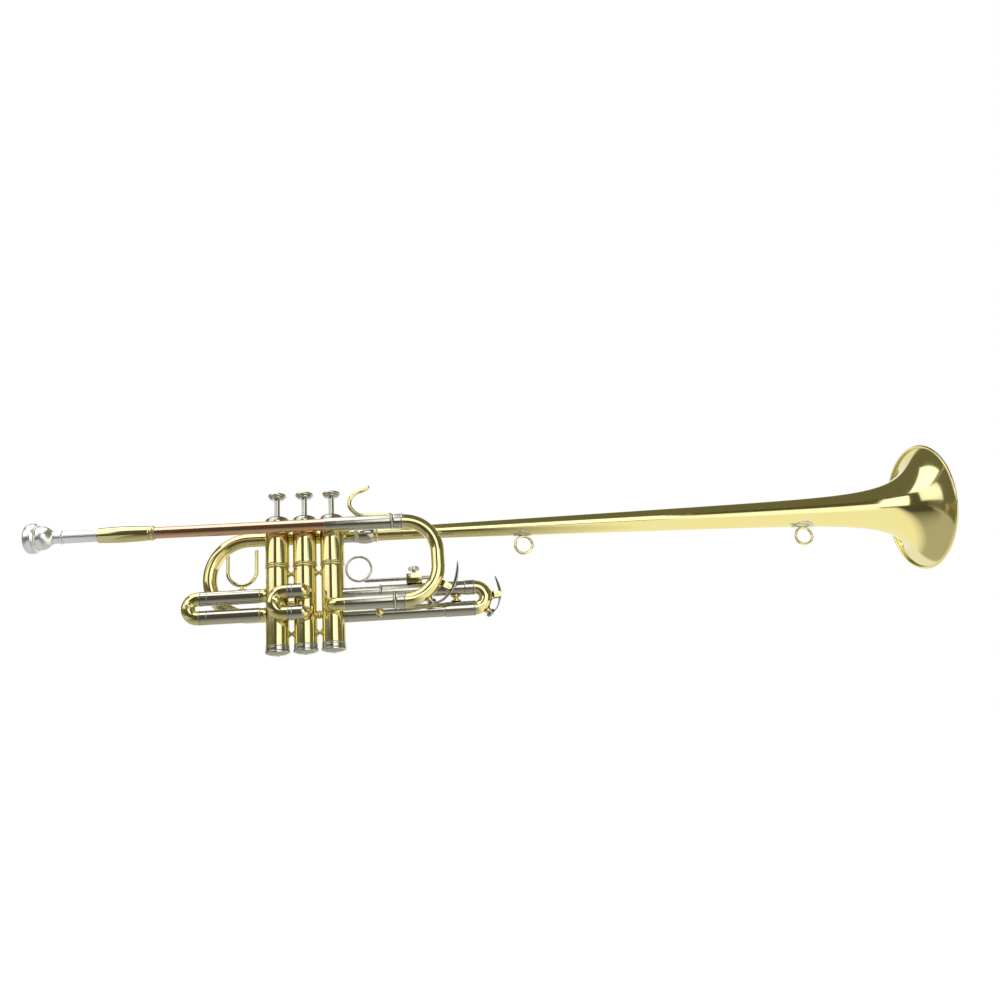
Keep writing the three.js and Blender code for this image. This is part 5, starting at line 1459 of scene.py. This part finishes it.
def set_up(name, corners, material, place=Matrix()):
    """A flat piece of the studio, which isn't part of the trumpet."""
    mesh = bpy.data.meshes.new(name)
    mesh.from_pydata(corners, [], [(0, 1, 2, 3)])
    mesh.materials.append(material)
    obj = bpy.data.objects.new(name, mesh)
    scene.collection.objects.link(obj)
    obj.matrix_world = place
    return obj


def only_reflected(obj):
    """Shows a panel in metal only: not to the camera, to matt surfaces or in shadows."""
    obj.visible_camera = False
    obj.visible_shadow = False
    obj.visible_diffuse = False


def card(name, size, location, target, strength, colour=WHITE, fall=0):
    """A panel that faces a target and is dimmer towards its edges."""
    w, h = size[0] / 2, size[1] / 2
    facing = (Vector(target) - Vector(location)).to_track_quat("-Z", "Y")
    material = glow_material(
        name, colour, lambda x, y: strength * (1 - fall * (x / w * (x / w) + y / h * (y / h))))
    only_reflected(set_up(name, [(-w, -h, 0), (w, -h, 0), (w, h, 0), (-w, h, 0)], material,
                          Matrix.Translation(location) @ facing.to_matrix().to_4x4()))


boxes = {
    "box_right": ((0.80, 1.12), (0.37, -1.5, 0.46), (0.2, 0, 0.3), 2.0, WARM, 0.15),
    "box_far_right": ((0.62, 0.95), (1.03, -1.42, -0.02), (0.3, 0, -0.02), 1.5, WARM, 0.12),
    "box_left": ((1.70, 1.05), (-1.27, -0.89, 0.79), (0, 0, 0.6), 1.6, WARM, 0.2),
    "box_above": ((1.02, 1.6), (-0.44, -0.4, 1.1), (-0.44, -0.4, 0), 2.1, WARM, 0.12),
    "pale_left": ((0.22, 0.5), (-0.34, -0.16, -0.12), (-0.34, -0.16, 1), 0.6),
}
for name, values in boxes.items():
    card(name, *values)
print("panels:", ", ".join(boxes))

# %% [markdown]
# Between the boxes hang dark, warm curtains, in front and at both sides, with a dim ceiling above.
# They give the metal its dark lines. Behind the trumpet the white background is left open, so that
# the metal's edges mirror it.

# %% Curtains and ceiling
DIM = (1, 0.95, 0.58)
curtains = {
    "curtain": ((7.0, 4.0), (0.0, -2.6, 0.3), (0, 0, 0.3), 0.10, (1, 0.92, 0.55)),
    "side_curtain_1": ((5.2, 4.0), (-3.2, 0, 0.3), (0, 0, 0.3), 0.17, DIM),
    "side_curtain_3": ((5.2, 4.0), (3.2, 0, 0.3), (0, 0, 0.3), 0.17, DIM),
    "ceiling": ((6.6, 5.4), (0, 0, 2.4), (0, 0, 0), 0.17, DIM),
}
for name, values in curtains.items():
    card(name, *values)
print("dim panels:", ", ".join(curtains))

# %% [markdown]
# The metal's lower sides mirror what lies below. A cloth that only metal sees lies just over the
# floor: dark towards the camera, paler further back, and white to the right, where the bell is.

# %% Cloth
FLOOR_Z = -0.45
CLOTH_Z = FLOOR_Z + 0.01


def clamped(link):
    """Keeps a value between zero and one."""
    return link.math("MAXIMUM", 0).math("MINIMUM", 1)


def cloth_glow(x, y):
    """The cloth's strength at a place, in metres."""
    nearness = clamped((y + 0.9) / 0.9)
    rightness = clamped((x - 0.22) / 0.22)
    return (0.08 + 0.45 * nearness) * (1 - rightness) + 1.15 * rightness


cloth_corners = [(-3, -3.7, CLOTH_Z), (3, -3.7, CLOTH_Z), (3, 1.3, CLOTH_Z), (-3, 1.3, CLOTH_Z)]
cloth = set_up("cloth", cloth_corners, glow_material("cloth", (1, 0.97, 0.80), cloth_glow))
only_reflected(cloth)
print("cloth at", CLOTH_Z)

# %% [markdown]
# The white background is the colour of the floor and the world, not more light on the trumpet. The
# camera sees the floor as glowing white with a quarter of its matt shade, which keeps the shadow.
# Metal and glass see the same, and all other light meets a plain pale floor.

# %% Lamp and floor
def seen_directly(tree):
    """One for the camera's rays, also by way of metal and glass, and zero for all others."""
    rays = tree.group.nodes.new("ShaderNodeLightPath").outputs
    seen = Link(tree.group, rays["Is Camera Ray"])
    for kind in ("Is Glossy Ray", "Is Transmission Ray"):
        seen = seen.math("MAXIMUM", Link(tree.group, rays[kind]))
    return seen


def pale_floor():
    """White to the camera and in metal, save for a trace of shadow, and plain light grey otherwise."""
    material, tree, _ = new_material("pale_floor")
    tree.group.nodes.clear()
    matt = tree.node("ShaderNodeBsdfDiffuse", Color=(0.8, 0.8, 0.8, 1))
    white = tree.node("ShaderNodeEmission", Strength=1.25)
    mix = tree.node("ShaderNodeMixShader", _0=seen_directly(tree) * 0.75, _1=matt, _2=white)
    tree.feed(tree.group.nodes.new("ShaderNodeOutputMaterial").inputs[0], mix)
    return material


lamp_data = bpy.data.lights.new("lamp_above", "AREA")
lamp_data.size = 1.2
lamp_data.energy = 12
lamp = bpy.data.objects.new("lamp_above", lamp_data)
scene.collection.objects.link(lamp)
lamp.location = (0.1, -0.3, 1.4)
lamp.visible_camera = False
lamp.visible_glossy = False
floor_corners = [(-8, -8, FLOOR_Z), (8, -8, FLOOR_Z), (8, 8, FLOOR_Z), (-8, 8, FLOOR_Z)]
set_up("floor", floor_corners, pale_floor())
print("lamp of", lamp_data.energy, "W, floor at", FLOOR_Z)

# %% [markdown]
# The world is the wall behind the trumpet. Seen by the camera or in metal it is white, and it lights
# everything else with little more than half of that. The Standard view keeps white at white.

# %% World and view settings
world = bpy.data.worlds.new("room")
scene.world = world
world.use_nodes = True
room = Tree(world.node_tree)
background = world.node_tree.nodes["Background"]
room.feed(background.inputs["Strength"], 0.55 + seen_directly(room) * 0.45)
background.inputs["Color"].default_value = (*WHITE, 1)
scene.view_settings.view_transform = "Standard"
print("view:", scene.view_settings.view_transform)
